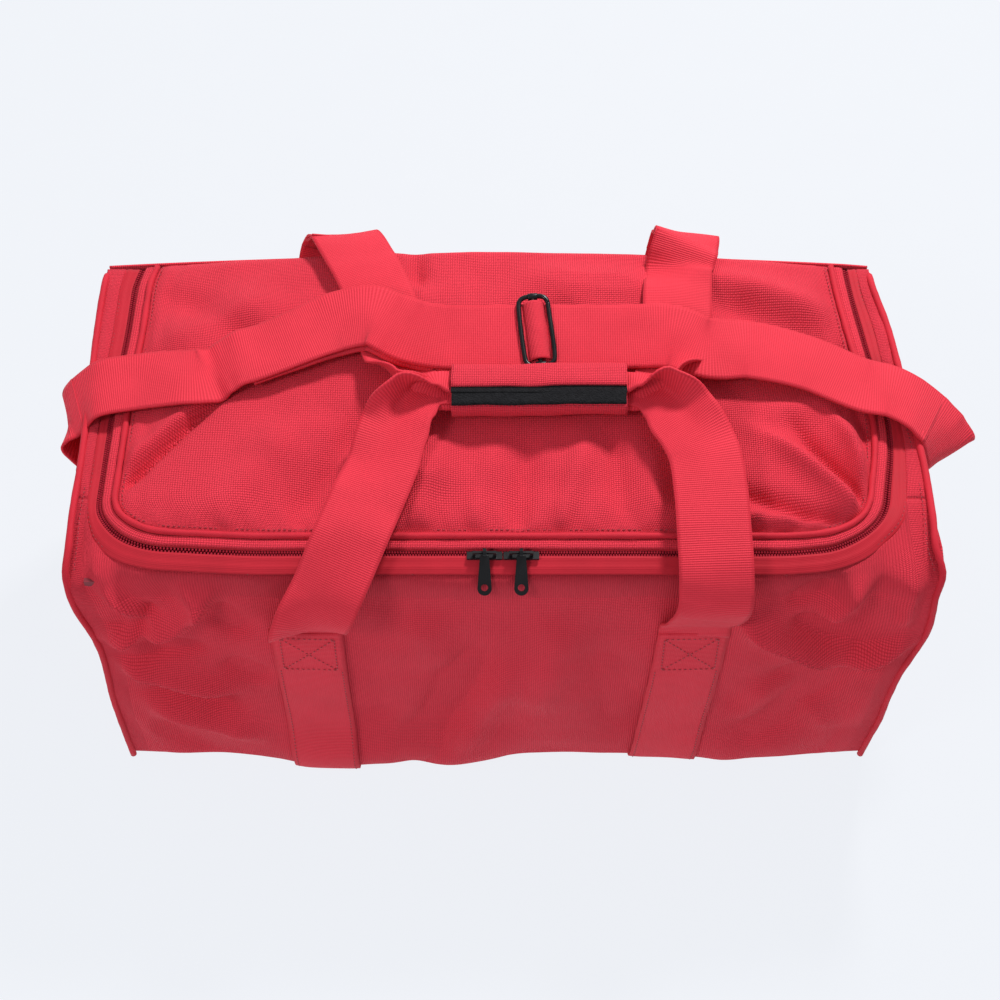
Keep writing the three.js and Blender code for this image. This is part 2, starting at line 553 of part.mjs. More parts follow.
// Wire adjuster lying on the strap's straight run, with the doubled end folded round its bar.
const onRun = (geometry) => {
  const tilt = Math.atan2(STRAP_RUN.across[2], STRAP_RUN.across[1]);
  return geometry.translate(0, ADJUST.shift, 0).rotateX(tilt).translate(ADJUST.x, STRAP_RUN.y, STRAP_RUN.z);
};
const lift = WEB.thick / 2 + GAP;
const [al, aw, wire] = [ADJUST.length / 2, ADJUST.width / 2, ADJUST.wire];
add('adjuster_frame', onRun(cut(
  block(-al, al, -aw, aw, lift, lift + wire),
  block(-al + wire, al - wire, -aw + wire, aw - wire, lift - 1, lift + wire + 1),
)), blackMetal);
add('adjuster_bar', onRun(block(-1.5, 1.5, -aw + wire + GAP, aw - wire - GAP, lift + 1.7, lift + 4.3)), blackMetal);
const sleeve = cut(
  block(-5.5, 5.5, -23.5, 23.5, lift + GAP, lift + 6.4),
  block(-2, 2, -40, 40, lift + 1.3, lift + 4.8),
);
add('adjuster_sleeve', onRun(sleeve), webbing);

export default bag;
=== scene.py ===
"""A red equipment bag with a U-shaped zip, webbing handles and a shoulder strap.

Sizes are in millimetres until a mesh is made, and metres after that. X runs along the bag, Y to the
back, where the lid hinges, and Z up from the base.
"""
import math

import bmesh
import bpy
from mathutils import Matrix, Vector, noise


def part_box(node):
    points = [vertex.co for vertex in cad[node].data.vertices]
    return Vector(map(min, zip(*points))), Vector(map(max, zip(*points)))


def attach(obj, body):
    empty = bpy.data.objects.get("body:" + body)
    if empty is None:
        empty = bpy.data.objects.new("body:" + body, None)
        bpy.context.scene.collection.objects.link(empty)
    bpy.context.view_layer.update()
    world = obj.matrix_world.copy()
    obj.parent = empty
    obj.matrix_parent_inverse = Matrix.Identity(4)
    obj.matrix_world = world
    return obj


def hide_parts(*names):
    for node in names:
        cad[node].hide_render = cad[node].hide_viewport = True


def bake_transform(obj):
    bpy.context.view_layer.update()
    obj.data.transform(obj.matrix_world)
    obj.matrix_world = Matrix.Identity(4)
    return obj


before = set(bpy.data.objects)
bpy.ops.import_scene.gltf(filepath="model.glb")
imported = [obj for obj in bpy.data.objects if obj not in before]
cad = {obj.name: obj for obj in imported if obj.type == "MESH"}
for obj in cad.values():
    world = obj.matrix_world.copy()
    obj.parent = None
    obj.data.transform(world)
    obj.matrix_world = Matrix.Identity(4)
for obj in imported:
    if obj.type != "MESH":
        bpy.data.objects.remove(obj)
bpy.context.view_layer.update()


# ---- Table top, light and camera ------------------------------------------------------------------
# A pale sheet of paper under the bag, big soft lamps over it, and a camera that looks down on the
# front of the bag from a standing person's height.
class Value:
    """A shader socket that takes part in ordinary arithmetic."""

    def __init__(self, shader, socket):
        self.shader, self.socket = shader, socket

    def math(self, operation, *others):
        return self.shader.node("Math", {"operation": operation}, *[self, *others])

    def __add__(self, other): return self.math("ADD", other)
    def __radd__(self, other): return self.math("ADD", other)
    def __sub__(self, other): return self.math("SUBTRACT", other)
    def __rsub__(self, other): return self.shader.node("Math", {"operation": "SUBTRACT"}, other, self)
    def __mul__(self, other): return self.math("MULTIPLY", other)
    def __rmul__(self, other): return self.math("MULTIPLY", other)
    def __truediv__(self, other): return self.math("DIVIDE", other)
    def __gt__(self, other): return self.math("GREATER_THAN", other)
    def __lt__(self, other): return self.math("LESS_THAN", other)


class Shader:
    """A material's node tree, with one method that makes any node."""

    def __init__(self, name):
        self.material = bpy.data.materials.new(name)
        self.material.use_nodes = True
        self.tree = self.material.node_tree
        self.surface = self.tree.nodes["Principled BSDF"]

    def node(self, kind, settings=None, *values, out=0, **named):
        made = self.tree.nodes.new("ShaderNode" + kind)
        for key, value in (settings or {}).items():
            if key == "stops":
                ramp = made.color_ramp
                for place, colour in value[2:]:
                    ramp.elements.new(place).color = (*colour, 1)
                for element, (place, colour) in zip((ramp.elements[0], ramp.elements[-1]), value[:2]):
                    element.position, element.color = place, (*colour, 1)
            else:
                setattr(made, key, value)
        for key, value in [*enumerate(values), *((k.replace("_", " "), v) for k, v in named.items())]:
            self.join(value, made.inputs[key])
        return Value(self, made.outputs[out])

    def join(self, value, socket):
        if isinstance(value, Value):
            self.tree.links.new(value.socket, socket)
        elif isinstance(value, tuple) and len(value) == 3 and socket.type == "RGBA":
            socket.default_value = (*value, 1)
        else:
            socket.default_value = value

    def set(self, **sockets):
        for name, value in sockets.items():
            self.join(value, self.surface.inputs[name.replace("_", " ")])
        return self.material

    def mix(self, share, first, second):
        made = self.tree.nodes.new("ShaderNodeMix")
        made.data_type = "RGBA"
        for value, place in ((share, 0), (first, 6), (second, 7)):
            self.join(value, made.inputs[place])
        return Value(self, made.outputs[2])

    def split(self, vector):
        made = self.tree.nodes.new("ShaderNodeSeparateXYZ")
        self.join(vector, made.inputs[0])
        return [Value(self, made.outputs[i]) for i in range(3)]

    def bump(self, height, strength, distance, normal=None):
        named = {"Height": height, "Strength": strength, "Distance": distance}
        if normal is not None:
            named["Normal"] = normal
        return self.node("Bump", None, **named)

    def spots(self, size, detail=2.0, vector=None, rough=0.5):
        """Soft noise whose spots are about size metres across."""
        place = vector or self.node("TexCoord", None, out="Object")
        return self.node("TexNoise", None, Vector=place, Scale=1 / size, Detail=detail, Roughness=rough)


scene = bpy.context.scene
scene.view_settings.view_transform = "Standard"
eye = bpy.data.cameras.new("eye")
eye.lens, eye.sensor_width = 63.8, 36
eye.clip_end = 20
camera = bpy.data.objects.new("camera", eye)
camera.location = (0, -0.762, 1.261)
camera.rotation_euler = (math.radians(34.4), 0, 0)
scene.collection.objects.link(camera)
scene.camera = camera

paper = Shader("paper")
grain = paper.spots(0.05, 4)
table_paper = paper.set(
    Base_Color=paper.mix(grain, (0.05, 0.05, 0.05), (0.055, 0.055, 0.055)), Roughness=0.9,
    Emission_Color=(0.815, 0.84, 0.885), Emission_Strength=1.0, Specular_IOR_Level=0.0,
    Normal=paper.bump(grain, 0.05, 0.0005))
bm = bmesh.new()
bmesh.ops.create_grid(bm, x_segments=4, y_segments=4, size=12)
table = bpy.data.meshes.new("table")
bm.to_mesh(table)
bm.free()
table.materials.append(table_paper)
table_top = bpy.data.objects.new("table", table)
scene.collection.objects.link(table_top)

room = bpy.data.worlds.new("room")
room.use_nodes = True
room.node_tree.nodes["Background"].inputs["Color"].default_value = (0.93, 0.96, 1.0, 1)
room.node_tree.nodes["Background"].inputs["Strength"].default_value = 0.46
scene.world = room


def lamp(name, place, aim, size, watts, colour=(1, 1, 1)):
    light = bpy.data.lights.new(name, "AREA")
    light.shape, light.size, light.energy, light.color = "SQUARE", size, watts, colour
    made = bpy.data.objects.new(name, light)
    made.location = place
    made.rotation_euler = (Vector(aim) - Vector(place)).to_track_quat("-Z", "Y").to_euler()
    scene.collection.objects.link(made)


lamp("back_lamp", (0.62, 1.1, 1.75), (0, 0, 0.2), 0.28, 40)
lamp("front_lamp", (-1.05, -1.0, 1.7), (0, -0.1, 0.1), 0.45, 11)


# ---- Body: front cloth ----------------------------------------------------------------------------
# Coated polyester cloth, cut in one piece from under the front edge of the bag, up the front and round
# the two front corners of the zip. It sags between its seams and puckers where the corners pull on it.
LENGTH, DEPTH, HEIGHT = 580, 282, 254
END = LENGTH / 2
RIM_X = END - 3
ZIP_SIDE, ZIP_FRONT, ZIP_CORNER, ZIP_TAPE, ZIP_Z = 261, -115, 45, 12, 252
CORNER_X, CORNER_Y = ZIP_SIDE - ZIP_CORNER, ZIP_FRONT + ZIP_CORNER
CLOTH_RED = (0.83, 0.042, 0.074)
CLOTH_DEEP = (0.40, 0.008, 0.020)


def clamp(v, low=0.0, high=1.0):
    return min(high, max(low, v))


def ease(v):
    t = clamp(v)
    return t * t * (3 - 2 * t)


def mix(a, b, t):
    return a + (b - a) * t


def midness(x):
    return 1 - (x / (END + 10)) ** 2


def rough_air(x, y, z, size, seed=0.0):
    """Smooth noise from about -1 to 1, with lumps of the given size."""
    return noise.noise(Vector((x / size + seed, y / size + 2 * seed, z / size - seed)))


def fold(a, b, start, end, wide, high, sharp=1.0):
    """Height at (a, b) of one fold of cloth that runs from start to end and dies out at both."""
    dx, dy = end[0] - start[0], end[1] - start[1]
    length = math.hypot(dx, dy)
    along = ((a - start[0]) * dx + (b - start[1]) * dy) / length ** 2
    off = ((a - start[0]) * dy - (b - start[1]) * dx) / length
    if not -0.4 < along < 1.4 or abs(off) > wide * 3.2:
        return 0.0
    taper = ease((along + 0.25) / 0.5) * ease((1.25 - along) / 0.5)
    return high * taper * math.exp(-abs(off / wide) ** (2 - 0.7 * (sharp - 1)))


def front_y(x, z):
    t = z / HEIGHT
    slump = 13 * math.exp(-((x + 90) / 95) ** 4) + 7 * math.exp(-((x - 190) / 55) ** 2) + 3
    foot = slump * math.exp(-((z - 24) / 34) ** 2) * ease((END - 2 - abs(x)) / 40) * ease(z / 14)
    return -DEPTH / 2 + 12 * t * t - 10 * math.sin(math.pi * clamp(t)) * midness(x) - foot


def back_y(x, z):
    t = z / HEIGHT
    return DEPTH / 2 + 12 * t * midness(x) + 5 * math.sin(math.pi * clamp(t)) * midness(x)


def rim_x(side, z, y=-140):
    """Where the end seam stands: the cloth pushes it out in the upper half of the front corner."""
    front = ease((-60 - y) / 70)
    if side < 0:
        push = 6 * math.exp(-((z - 216) / 26) ** 2) - 3 * math.exp(-((z - 150) / 34) ** 2)
    else:
        push = 13 * math.exp(-((z - 192) / 52) ** 2) - 5 * (1 - ease(z / 70))
    return side * (RIM_X + push * front)


FRONT_FOLDS = [
    # start (x, z), end (x, z), width, height, sharpness: minus is a valley
    ((-286, 176), (-226, 196), 9, 11, 1.9), ((-226, 196), (-196, 232), 7, 6, 1.8), ((-274, 160), (-214, 168), 8, -8,
        1.6),
    ((-276, 224), (-262, 196), 6, -7, 1.7), ((-258, 228), (-240, 200), 6, 6, 1.8), ((-238, 216), (-252, 182), 7, -7,
        1.5),
    ((-210, 236), (-206, 206), 6, 5, 1.8), ((-200, 214), (-180, 186), 11, -5, 1.4),
    ((-282, 150), (-196, 116), 13, 9, 1.6), ((-262, 128), (-196, 92), 13, -6, 1.4), ((-256, 96), (-182, 52), 15, 8,
        1.4),
    ((-262, 60), (-222, 14), 14, -4, 1.2), ((-196, 150), (-168, 130), 12, -5, 1.4), ((-286, 110), (-262, 40), 10, 4,
        1.3),
    ((-20, 158), (-66, 18), 15, -8, 1.2), ((8, 150), (-30, 40), 14, 6, 1.2), ((44, 190), (26, 100), 18, 5, 1.1),
    ((70, 170), (96, 60), 20, -4, 1), ((-100, 180), (-84, 60), 18, -3, 1), ((-60, 200), (-40, 150), 16, 3, 1),
    ((166, 206), (240, 152), 10, 11, 1.8), ((246, 154), (286, 176), 9, 11, 1.8), ((206, 200), (238, 176), 9, -8, 1.6),
    ((258, 226), (248, 170), 8, -9, 1.5), ((244, 238), (226, 206), 7, 8, 1.8), ((276, 240), (270, 196), 6, 7, 1.7),
    ((222, 236), (200, 220), 7, -6, 1.5), ((268, 150), (200, 132), 10, -5, 1.4),
    ((286, 150), (270, 60), 14, 4, 1), ((240, 130), (196, 50), 16, -6, 1.3), ((225, 90), (262, 40), 12, 4, 1.3),
    ((196, 120), (176, 70), 13, 4, 1.2), ((250, 60), (276, 20), 11, -4, 1.2), ((165, 120), (190, 30), 14, -3, 1),
]


def settle(p):
    """The top's sides lie slack and bow outward: moves a point of the flat-cut top to where it rests."""
    side = -1 if p.x < 0 else 1
    if side < 0:
        line = mix(10.5, 13, ease((90 - p.y) / 80)) * ease((175 - p.y) / 60) + 3
        rim = 10 - 4 * ease((60 - p.y) / 70)
        back = 4 * ease((-p.x - 160) / 80) * ease((-70 - p.y) / 30)
    else:
        line = 15 * math.exp(-((p.y + 12) / 62) ** 2) + 4 * math.exp(-((p.y - 70) / 50) ** 2)
        rim = 9 * ease((60 - p.y) / 90) - 8 * ease((p.y - 70) / 60)
        back = 4 * ease((p.x - 190) / 50) * ease((-80 - p.y) / 30)
    out = abs(p.x)
    shift = line * ease((out - 170) / (ZIP_SIDE - 176))
    if out > ZIP_SIDE:
        shift = mix(line, rim, clamp((out - ZIP_SIDE) / (RIM_X - ZIP_SIDE)))
    top = ease((p.z - 212) / 34)
    return Vector((p.x + side * shift * top, p.y + back * top, p.z))


def settled(place):
    return lambda u, v: settle(place(u, v))


def belt_hold(x):
    """Share of the sag left near a belt, whose webbing holds the cloth flat."""
    return 1 - 0.8 * max(math.exp(-((x - s * 135) / 30) ** 4) for s in (-1, 1))


def front_point(u, v):
    """Front cloth: u from left to right, v from the base up and over the edge to the zip."""
    side = -1 if u < 0.5 else 1
    from_end = min(u, 1 - u) * 22
    strip = ZIP_SIDE + ZIP_TAPE + 0.2                   # ten columns at each end carry on into the top strips
    x = side * (mix(END - 3, strip, from_end) if from_end < 1 else mix(strip, 0, (from_end - 1) / 10))
    shoulder = 226
    t_in = 1 - 0.24
    inner_y = -127.0
    if abs(x) > CORNER_X:
        reach = ZIP_CORNER + ZIP_TAPE
        out = clamp((abs(x) - CORNER_X) / reach)
        inner_y = CORNER_Y - reach * math.sqrt(max(1 - out * out, 0))
    inner_z = top_z(x, inner_y)
    if v < t_in:
        z = mix(1.2, shoulder, v / t_in)
        y = front_y(x, z) + 7 * (1 - clamp(z / 10)) ** 2
        run = 1.0
    else:
        t = (v - t_in) / (1 - t_in)
        y0, y3 = front_y(x, shoulder), inner_y
        reach = max(6.0, 0.42 * (y3 - y0))
        p1, p2 = (y0 + 0.4, mix(shoulder, inner_z, 0.62)), (y3 - reach, inner_z - 0.6)
        a, b, c, d = (1 - t) ** 3, 3 * t * (1 - t) ** 2, 3 * t * t * (1 - t), t ** 3
        y = a * y0 + b * p1[0] + c * p2[0] + d * y3
        z = a * shoulder + b * p1[1] + c * p2[1] + d * inner_z
        run = 1 - ease((t - 0.35) / 0.6)
    # Folds stand out along the cloth's own slope, and die out at the zip, the belts and the seams.
    height = sum(fold(x, min(z, 243), *f[:2], f[2], f[3], f[4]) for f in FRONT_FOLDS)
    height = height * 1.6 + 3.2 * rough_air(x, 0, z, 66, 3.1) + 1.5 * rough_air(x, 5, z, 25, 7.7)
    hold = belt_hold(x) * ease(z / 18) * (0.15 + 0.85 * ease((END - 4 - abs(x)) / 26))
    height = max(height * hold * run, mix(-5, 0.5, ease((abs(x) - 238) / 26)))
    corner = ease((abs(x) - 200) / 50) * ease((z - 200) / 40)
    pucker = 2.4 * corner * run * math.sin(x * 0.24 + 1.5 * rough_air(x, y, z, 40))
    seam = (rim_x(side, z, y) / (side * RIM_X)) if z > 0 else 1
    x *= mix(1, seam, ease((abs(x) - 215) / 70))
    return Vector((x, y - height - pucker * 0.7, z + pucker * 0.5 * (1 - run)))


def top_z(x, y):
    """Height of the cloth strip between the zip and the end seam, which falls away to the front."""
    fall = ease((CORNER_Y - y) / 58)
    return HEIGHT - 1.2 - 7.0 * fall - 1.5 * ease((abs(x) - 262) / 26) * fall


def lay(bm, columns, rows, place, size, start=(0, 0)):
    """Adds one bent grid to a mesh, with its flat map in metres from start."""
    weave = bm.loops.layers.uv.active or bm.loops.layers.uv.new("weave")
    made = bmesh.ops.create_grid(bm, x_segments=columns, y_segments=rows, size=0.5)["verts"]
    for face in {f for v in made for f in v.link_faces}:
        for loop in face.loops:
            loop[weave].uv = [(c + 0.5) * s / 1000 + o / 1000 for c, s, o in zip(loop.vert.co[:2], size, start)]
    for vert in made:
        vert.co = place(clamp(vert.co.x + 0.5), clamp(vert.co.y + 0.5)) / 1000


def grid_piece(name, columns, rows, place, size, finish, wall=None, body="bag", stands_for=(), slot="cloth",
               outward=(0, 0, 125), close=(), offset=-1.0):
    """A piece bent from a flat grid: place(u, v) gives the point of its outer face in millimetres, and size is
    its flat width and length, so that a weave keeps its true scale. close joins opposite edges."""
    bm = bmesh.new()
    lay(bm, columns, rows, place, size)
    if close:
        bmesh.ops.remove_doubles(bm, verts=bm.verts, dist=1e-6)
    if "ends" in close:
        bmesh.ops.holes_fill(bm, edges=[e for e in bm.edges if e.is_boundary], sides=0)
        bmesh.ops.recalc_face_normals(bm, faces=bm.faces)
    elif "ring" in close:
        bmesh.ops.recalc_face_normals(bm, faces=bm.faces)
    else:
        middle = Vector(outward) / 1000
        turned = sum((f.calc_center_median() - middle).dot(f.normal) * f.calc_area() for f in bm.faces)
        if turned < 0:
            bmesh.ops.reverse_faces(bm, faces=bm.faces)
    return finish_piece(name, bm, finish, body, stands_for, wall, offset)


def finish_piece(name, bm, finish, body, stands_for=(), wall=None, offset=-1.0, smooth=True):
    mesh = bpy.data.meshes.new(name)
    for face in bm.faces:
        face.smooth = smooth
    bm.to_mesh(mesh)
    bm.free()
    mesh.materials.append(finish)
    made = bpy.data.objects.new(name, mesh)
    scene.collection.objects.link(made)
    if wall:
        thick = made.modifiers.new("wall", "SOLIDIFY")
        thick.thickness, thick.offset = wall / 1000, offset
    if stands_for:
        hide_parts(*stands_for)
    if body:
        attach(made, body)
    return made


def woven(name, light, deep, pitch=1.5, strength=0.9, rough=0.7, sheen=0.08):
    """Plain-weave cloth read from the piece's own flat map, with uneven threads and soft wear."""
    s = Shader(name)
    flat = s.node("UVMap", {"uv_map": "weave"})
    along, across, _ = s.split(flat)
    uneven = s.spots(0.012, 3, flat)
    along = along * (1000 / pitch) + uneven * 0.5
    across = across * (1000 / pitch) + uneven * 0.5
    a, b = along.math("FRACT"), across.math("FRACT")
    over = ((along.math("FLOOR") + across.math("FLOOR")) * 0.5).math("FRACT") * 2
    crown_a = 1 - (a * 2 - 1).math("POWER", 2.0)
    crown_b = 1 - (b * 2 - 1).math("POWER", 2.0)
    warp, weft = crown_a * (crown_b * 0.5 + 0.5), crown_b * (crown_a * 0.5 + 0.5)
    thread = warp * over + weft * (1 - over)
    lumps = s.spots(0.045, 3)
    fuzz = s.spots(0.0011, 2)
    tone = thread * 0.7 + lumps * 0.4 + fuzz * 0.2 - 0.02
    colour = s.mix(tone, deep, light)
    bump = s.bump(thread, strength, 0.0006, s.bump(fuzz, 0.12, 0.0003))
    return s.set(Base_Color=colour, Roughness=rough + lumps * 0.12, Normal=bump, Sheen_Weight=sheen,
                 Sheen_Roughness=0.5, Sheen_Tint=(1, 0.35, 0.4), Specular_IOR_Level=0.2)


cloth_red = woven("bag_cloth", CLOTH_RED, CLOTH_DEEP)


def strip_point(side):
    """The cloth carries on as a narrow strip between the zip and the end seam, with its slack in ripples."""
    def place(u, v):
        y = mix(CORNER_Y, 140, v)
        x = mix(ZIP_SIDE + ZIP_TAPE + 0.2, END - 3, u)
        slack = math.sin(math.pi * u) * (1.6 + 1.4 * rough_air(0, y, side * 9, 30)) * ease((y - CORNER_Y) / 14)
        z = top_z(x, y) + slack * ease((139 - y) / 20)
        return Vector((side * x, y, z))
    return place


bm = bmesh.new()
lay(bm, 220, 96, settled(front_point), (588, 290))
for side in (-1, 1):
    lay(bm, 10, 60, settled(strip_point(side)), (20 * side, 210), start=(294 + side * 267, 290))
bmesh.ops.remove_doubles(bm, verts=bm.verts, dist=2e-5)
bmesh.ops.recalc_face_normals(bm, faces=bm.faces)
if sum(f.normal.y * f.calc_area() for f in bm.faces) > 0:
    bmesh.ops.reverse_faces(bm, faces=bm.faces)
finish_piece("body_front_cloth", bm, cloth_red, "bag", wall=1.6,
             stands_for=("front_panel", "top_gusset_left", "top_gusset_right"))


# ---- Body: base and back --------------------------------------------------------------------------
# The base and the back are one more length of the cloth. The back stands straight to the hinge line.
def base_point(u, v):
    x, y = mix(-END + 2.5, END - 2.5, u), mix(-DEPTH / 2 + 5, DEPTH / 2 - 4, v)
    sag = 2.2 + 0.7 * rough_air(x, y, 0, 60, 2.0)
    edge = min(x + END - 2.5, END - 2.5 - x, y + DEPTH / 2 - 5, DEPTH / 2 - 4 - y)
    return Vector((x, y, mix(1.0, sag, ease(edge / 12))))


def back_point(u, v):
    x = mix(-END + 4, END - 4, u)
    z = mix(1.2, 252.6, v)
    y = back_y(x, z) - 6 * (1 - clamp(z / 10)) ** 2
    slack = 2.5 * rough_air(x, 0, z, 70, 9.0) + 1.0 * rough_air(x, 3, z, 26, 4.0)
    slack += fold(x, z, (-230, 220), (-190, 110), 18, 4) + fold(x, z, (226, 228), (176, 120), 18, 4)
    slack += fold(x, z, (-60, 200), (-30, 70), 26, -4) + fold(x, z, (40, 190), (74, 60), 24, 3.5)
    return Vector((x,
                   y + slack * belt_hold(x) * ease(z / 20) * ease((252 - z) / 22) * ease((END - 4 - abs(x)) / 25), z))


grid_piece("body_base_cloth", 60, 36, base_point, (568, 272), cloth_red, wall=1.4, stands_for=("base_panel",),
           offset=1.0)
grid_piece("body_back_cloth", 150, 60, settled(back_point), (572, 255), cloth_red, wall=1.6,
           stands_for=("back_panel",))


# ---- Body: end panels -----------------------------------------------------------------------------
# A rounded panel of cloth closes each end. Its edge is caught in the piped seam, and its middle swells.
def end_point(side):
    def place(u, v):
        z = mix(0.8, HEIGHT - 3.5, v)
        corner = 14 * ease((z - HEIGHT + 24) / 22) ** 2 + 3 * (1 - ease(z / 10))
        y0, y1 = front_y(END, z) + 2 + corner, back_y(END, z) - 2 - corner
        y = mix(y0, y1, u)
        swell = math.sin(math.pi * clamp((z - 2) / (HEIGHT - 4))) ** 0.6 * math.sin(math.pi * u) ** 0.6
        slack = 2.2 * rough_air(side * 5, y, z, 55, 5.0) + 0.8 * rough_air(side * 9, y, z, 20, 1.0)
        slack += fold(y, z, (-120, 210), (-40, 140), 14, 4) + fold(y, z, (-118, 170), (-60, 70), 16, -4)
        slack += fold(y, z, (110, 200), (60, 110), 16, 3) + fold(y, z, (-70, 60), (10, 24), 14, 3)
        calm = 1 - math.exp(-(((y - 4) / 40) ** 4 + ((z - 165) / 62) ** 4))   # flat behind the ring's tab
        out = abs(rim_x(side, z, y)) - 0.5
        return Vector((side * (out + 1.6 * swell + 0.9 * slack * swell * calm), y, z))
    return place


for side, tag in ((-1, "left"), (1, "right")):
    grid_piece(f"end_cloth_{tag}", 60, 60, settled(end_point(side)), (284, 256), cloth_red, wall=1.6,
               stands_for=(f"end_panel_{tag}",))


# ---- End piping -----------------------------------------------------------------------------------
# Cord wrapped in bias-cut cloth, caught in the seam round each end of the bag, with its row of
# stitches close beside it.
PIPE_RED = (0.72, 0.024, 0.048)


def route(points, steps, closed=False):
    """Even points along a smooth curve through the given ones."""
    pts = [Vector(p) for p in points]
    pts = [pts[0] * 2 - pts[1], *pts, pts[-1] * 2 - pts[-2]]
    fine = []
    for i in range(1, len(pts) - 2):
        p0, p1, p2, p3 = pts[i - 1:i + 3]
        t1 = max((p1 - p0).length, 1e-6) ** 0.5
        t2 = t1 + max((p2 - p1).length, 1e-6) ** 0.5
        t3 = t2 + max((p3 - p2).length, 1e-6) ** 0.5
        for k in range(24):
            t = mix(t1, t2, k / 24)
            a1 = p0 * ((t1 - t) / t1) + p1 * (t / t1)
            a2 = p1 * ((t2 - t) / (t2 - t1)) + p2 * ((t - t1) / (t2 - t1))
            a3 = p2 * ((t3 - t) / (t3 - t2)) + p3 * ((t - t2) / (t3 - t2))
            b1 = a1 * ((t2 - t) / t2) + a2 * (t / t2)
            b2 = a2 * ((t3 - t) / (t3 - t1)) + a3 * ((t - t1) / (t3 - t1))
            fine.append(b1 * ((t2 - t) / (t2 - t1)) + b2 * ((t - t1) / (t2 - t1)))
    fine.append(pts[-2])
    lengths = [0.0]
    for a, b in zip(fine, fine[1:]):
        lengths.append(lengths[-1] + (b - a).length)
    even, j = [], 0
    for k in range(steps + 1):
        want = lengths[-1] * k / steps
        while j < len(fine) - 2 and lengths[j + 1] < want:
            j += 1
        share = (want - lengths[j]) / max(lengths[j + 1] - lengths[j], 1e-9)
        even.append(fine[j].lerp(fine[j + 1], clamp(share)))
    return even, lengths[-1]


def slope(line, k):
    return (line[min(k + 1, len(line) - 1)] - line[max(k - 1, 0)]).normalized()


def tube(name, points, steps, radius, finish, body, sides=12, wander=0.0, **facts):
    """A round cord along a route."""
    line, length = route(points, steps)

    def place(u, v):
        k = round(u * steps)
        along = slope(line, k)
        side = along.cross(Vector((0.3, 0.2, 0.93))).normalized()
        up = side.cross(along)
        angle = 2 * math.pi * v
        r = radius * (1 + wander * rough_air(*line[k], 9))
        return line[k] + side * (math.cos(angle) * r) + up * (math.sin(angle) * r)

    return grid_piece(name, steps, sides, place, (length, 2 * math.pi * radius), finish, body=body,
                      close=("ring", "ends"), **facts)


def stitches(name, line, finish, body, long=2.6, gap=1.0, wide=0.75, up=(0, 0, 1)):
    """One row of lockstitch: a small pinched bar for every stitch along a line of points."""
    lengths = [0.0]
    for a, b in zip(line, line[1:]):
        lengths.append(lengths[-1] + (b - a).length)
    bm = bmesh.new()
    count = int(lengths[-1] // (long + gap))
    j = 0
    for k in range(count):
        want = (k + 0.5) * lengths[-1] / count
        while j < len(line) - 2 and lengths[j + 1] < want:
            j += 1
        share = (want - lengths[j]) / max(lengths[j + 1] - lengths[j], 1e-9)
        at = line[j].lerp(line[j + 1], clamp(share))
        along = (line[j + 1] - line[j]).normalized()
        lift = Vector(up(at) if callable(up) else up)
        side = lift.cross(along).normalized()
        lift = along.cross(side)
        turn = Matrix((along, side, lift)).transposed().to_4x4()
        made = bmesh.ops.create_icosphere(bm, subdivisions=1, radius=0.5)["verts"]
        bmesh.ops.scale(bm, verts=made, vec=(long / 1000, wide / 1000, 0.6 / 1000))
        bmesh.ops.transform(bm, verts=made, matrix=Matrix.Translation((at + lift * 0.12) / 1000) @ turn)
    return finish_piece(name, bm, finish, body)


def cord_cloth(name, light, deep):
    s = Shader(name)
    flat = s.node("UVMap", {"uv_map": "weave"})
    along, across, _ = s.split(flat)
    twill = ((along * 820 + across * 820) * 6.283).math("SINE") * 0.5 + 0.5
    wear = s.spots(0.02, 3)
    fuzz = s.spots(0.0012, 2)
    colour = s.mix(twill * 0.4 + wear * 0.6 + fuzz * 0.2 - 0.1, deep, light)
    return s.set(Base_Color=colour, Roughness=0.6 + wear * 0.15, Sheen_Weight=0.08, Sheen_Roughness=0.5,
                 Sheen_Tint=(1, 0.35, 0.4), Specular_IOR_Level=0.2, Normal=s.bump(twill, 0.35, 0.0004))


def thread_finish(name, colour):
    s = Shader(name)
    ply = s.spots(0.0006, 2)
    return s.set(Base_Color=s.mix(ply, tuple(c * 0.7 for c in colour), colour), Roughness=0.5 + ply * 0.2,
                 Sheen_Weight=0.2, Normal=s.bump(ply, 0.4, 0.0002))


piping_red = cord_cloth("piping_cloth", PIPE_RED, CLOTH_DEEP)
thread_red = thread_finish("red_thread", (0.36, 0.010, 0.026))

for side, tag in ((-1, "left"), (1, "right")):
    loop = [(rim_x(side, z, -140), front_y(END, z) - 0.5, z) for z in (3, 30, 62, 96, 130, 158, 182, 204, 222)]
    loop += [(rim_x(side, 240, -128), -127, 240), (side * RIM_X, -112, 250), (side * RIM_X, -90, HEIGHT)]
    loop += [(side * RIM_X, y, HEIGHT + 0.6 * math.sin(y / 17)) for y in (-40, 20, 80)]
    loop += [(side * RIM_X, 122, HEIGHT), (side * RIM_X, 134, HEIGHT - 2.5), (side * RIM_X, 140, HEIGHT - 9)]
    loop += [(side * RIM_X, back_y(END, z), z) for z in (232, 190, 140, 80, 30, 3)]
    loop = [settle(Vector(p)) for p in loop]
    tube(f"end_piping_{tag}", loop, 150, 2.5, piping_red, "bag", wander=0.12, slot="piping",
         stands_for=(f"rim_piping_{tag}",))
    beside, _ = route([(p[0] - side * 5.5, p[1] + (1.2 if p[1] < -120 else 0), p[2] - (0.4 if p[2] > 245 else 0))
                       for p in loop[9:15]], 60)
    stitches(f"end_stitches_{tag}", beside, thread_red, "bag")


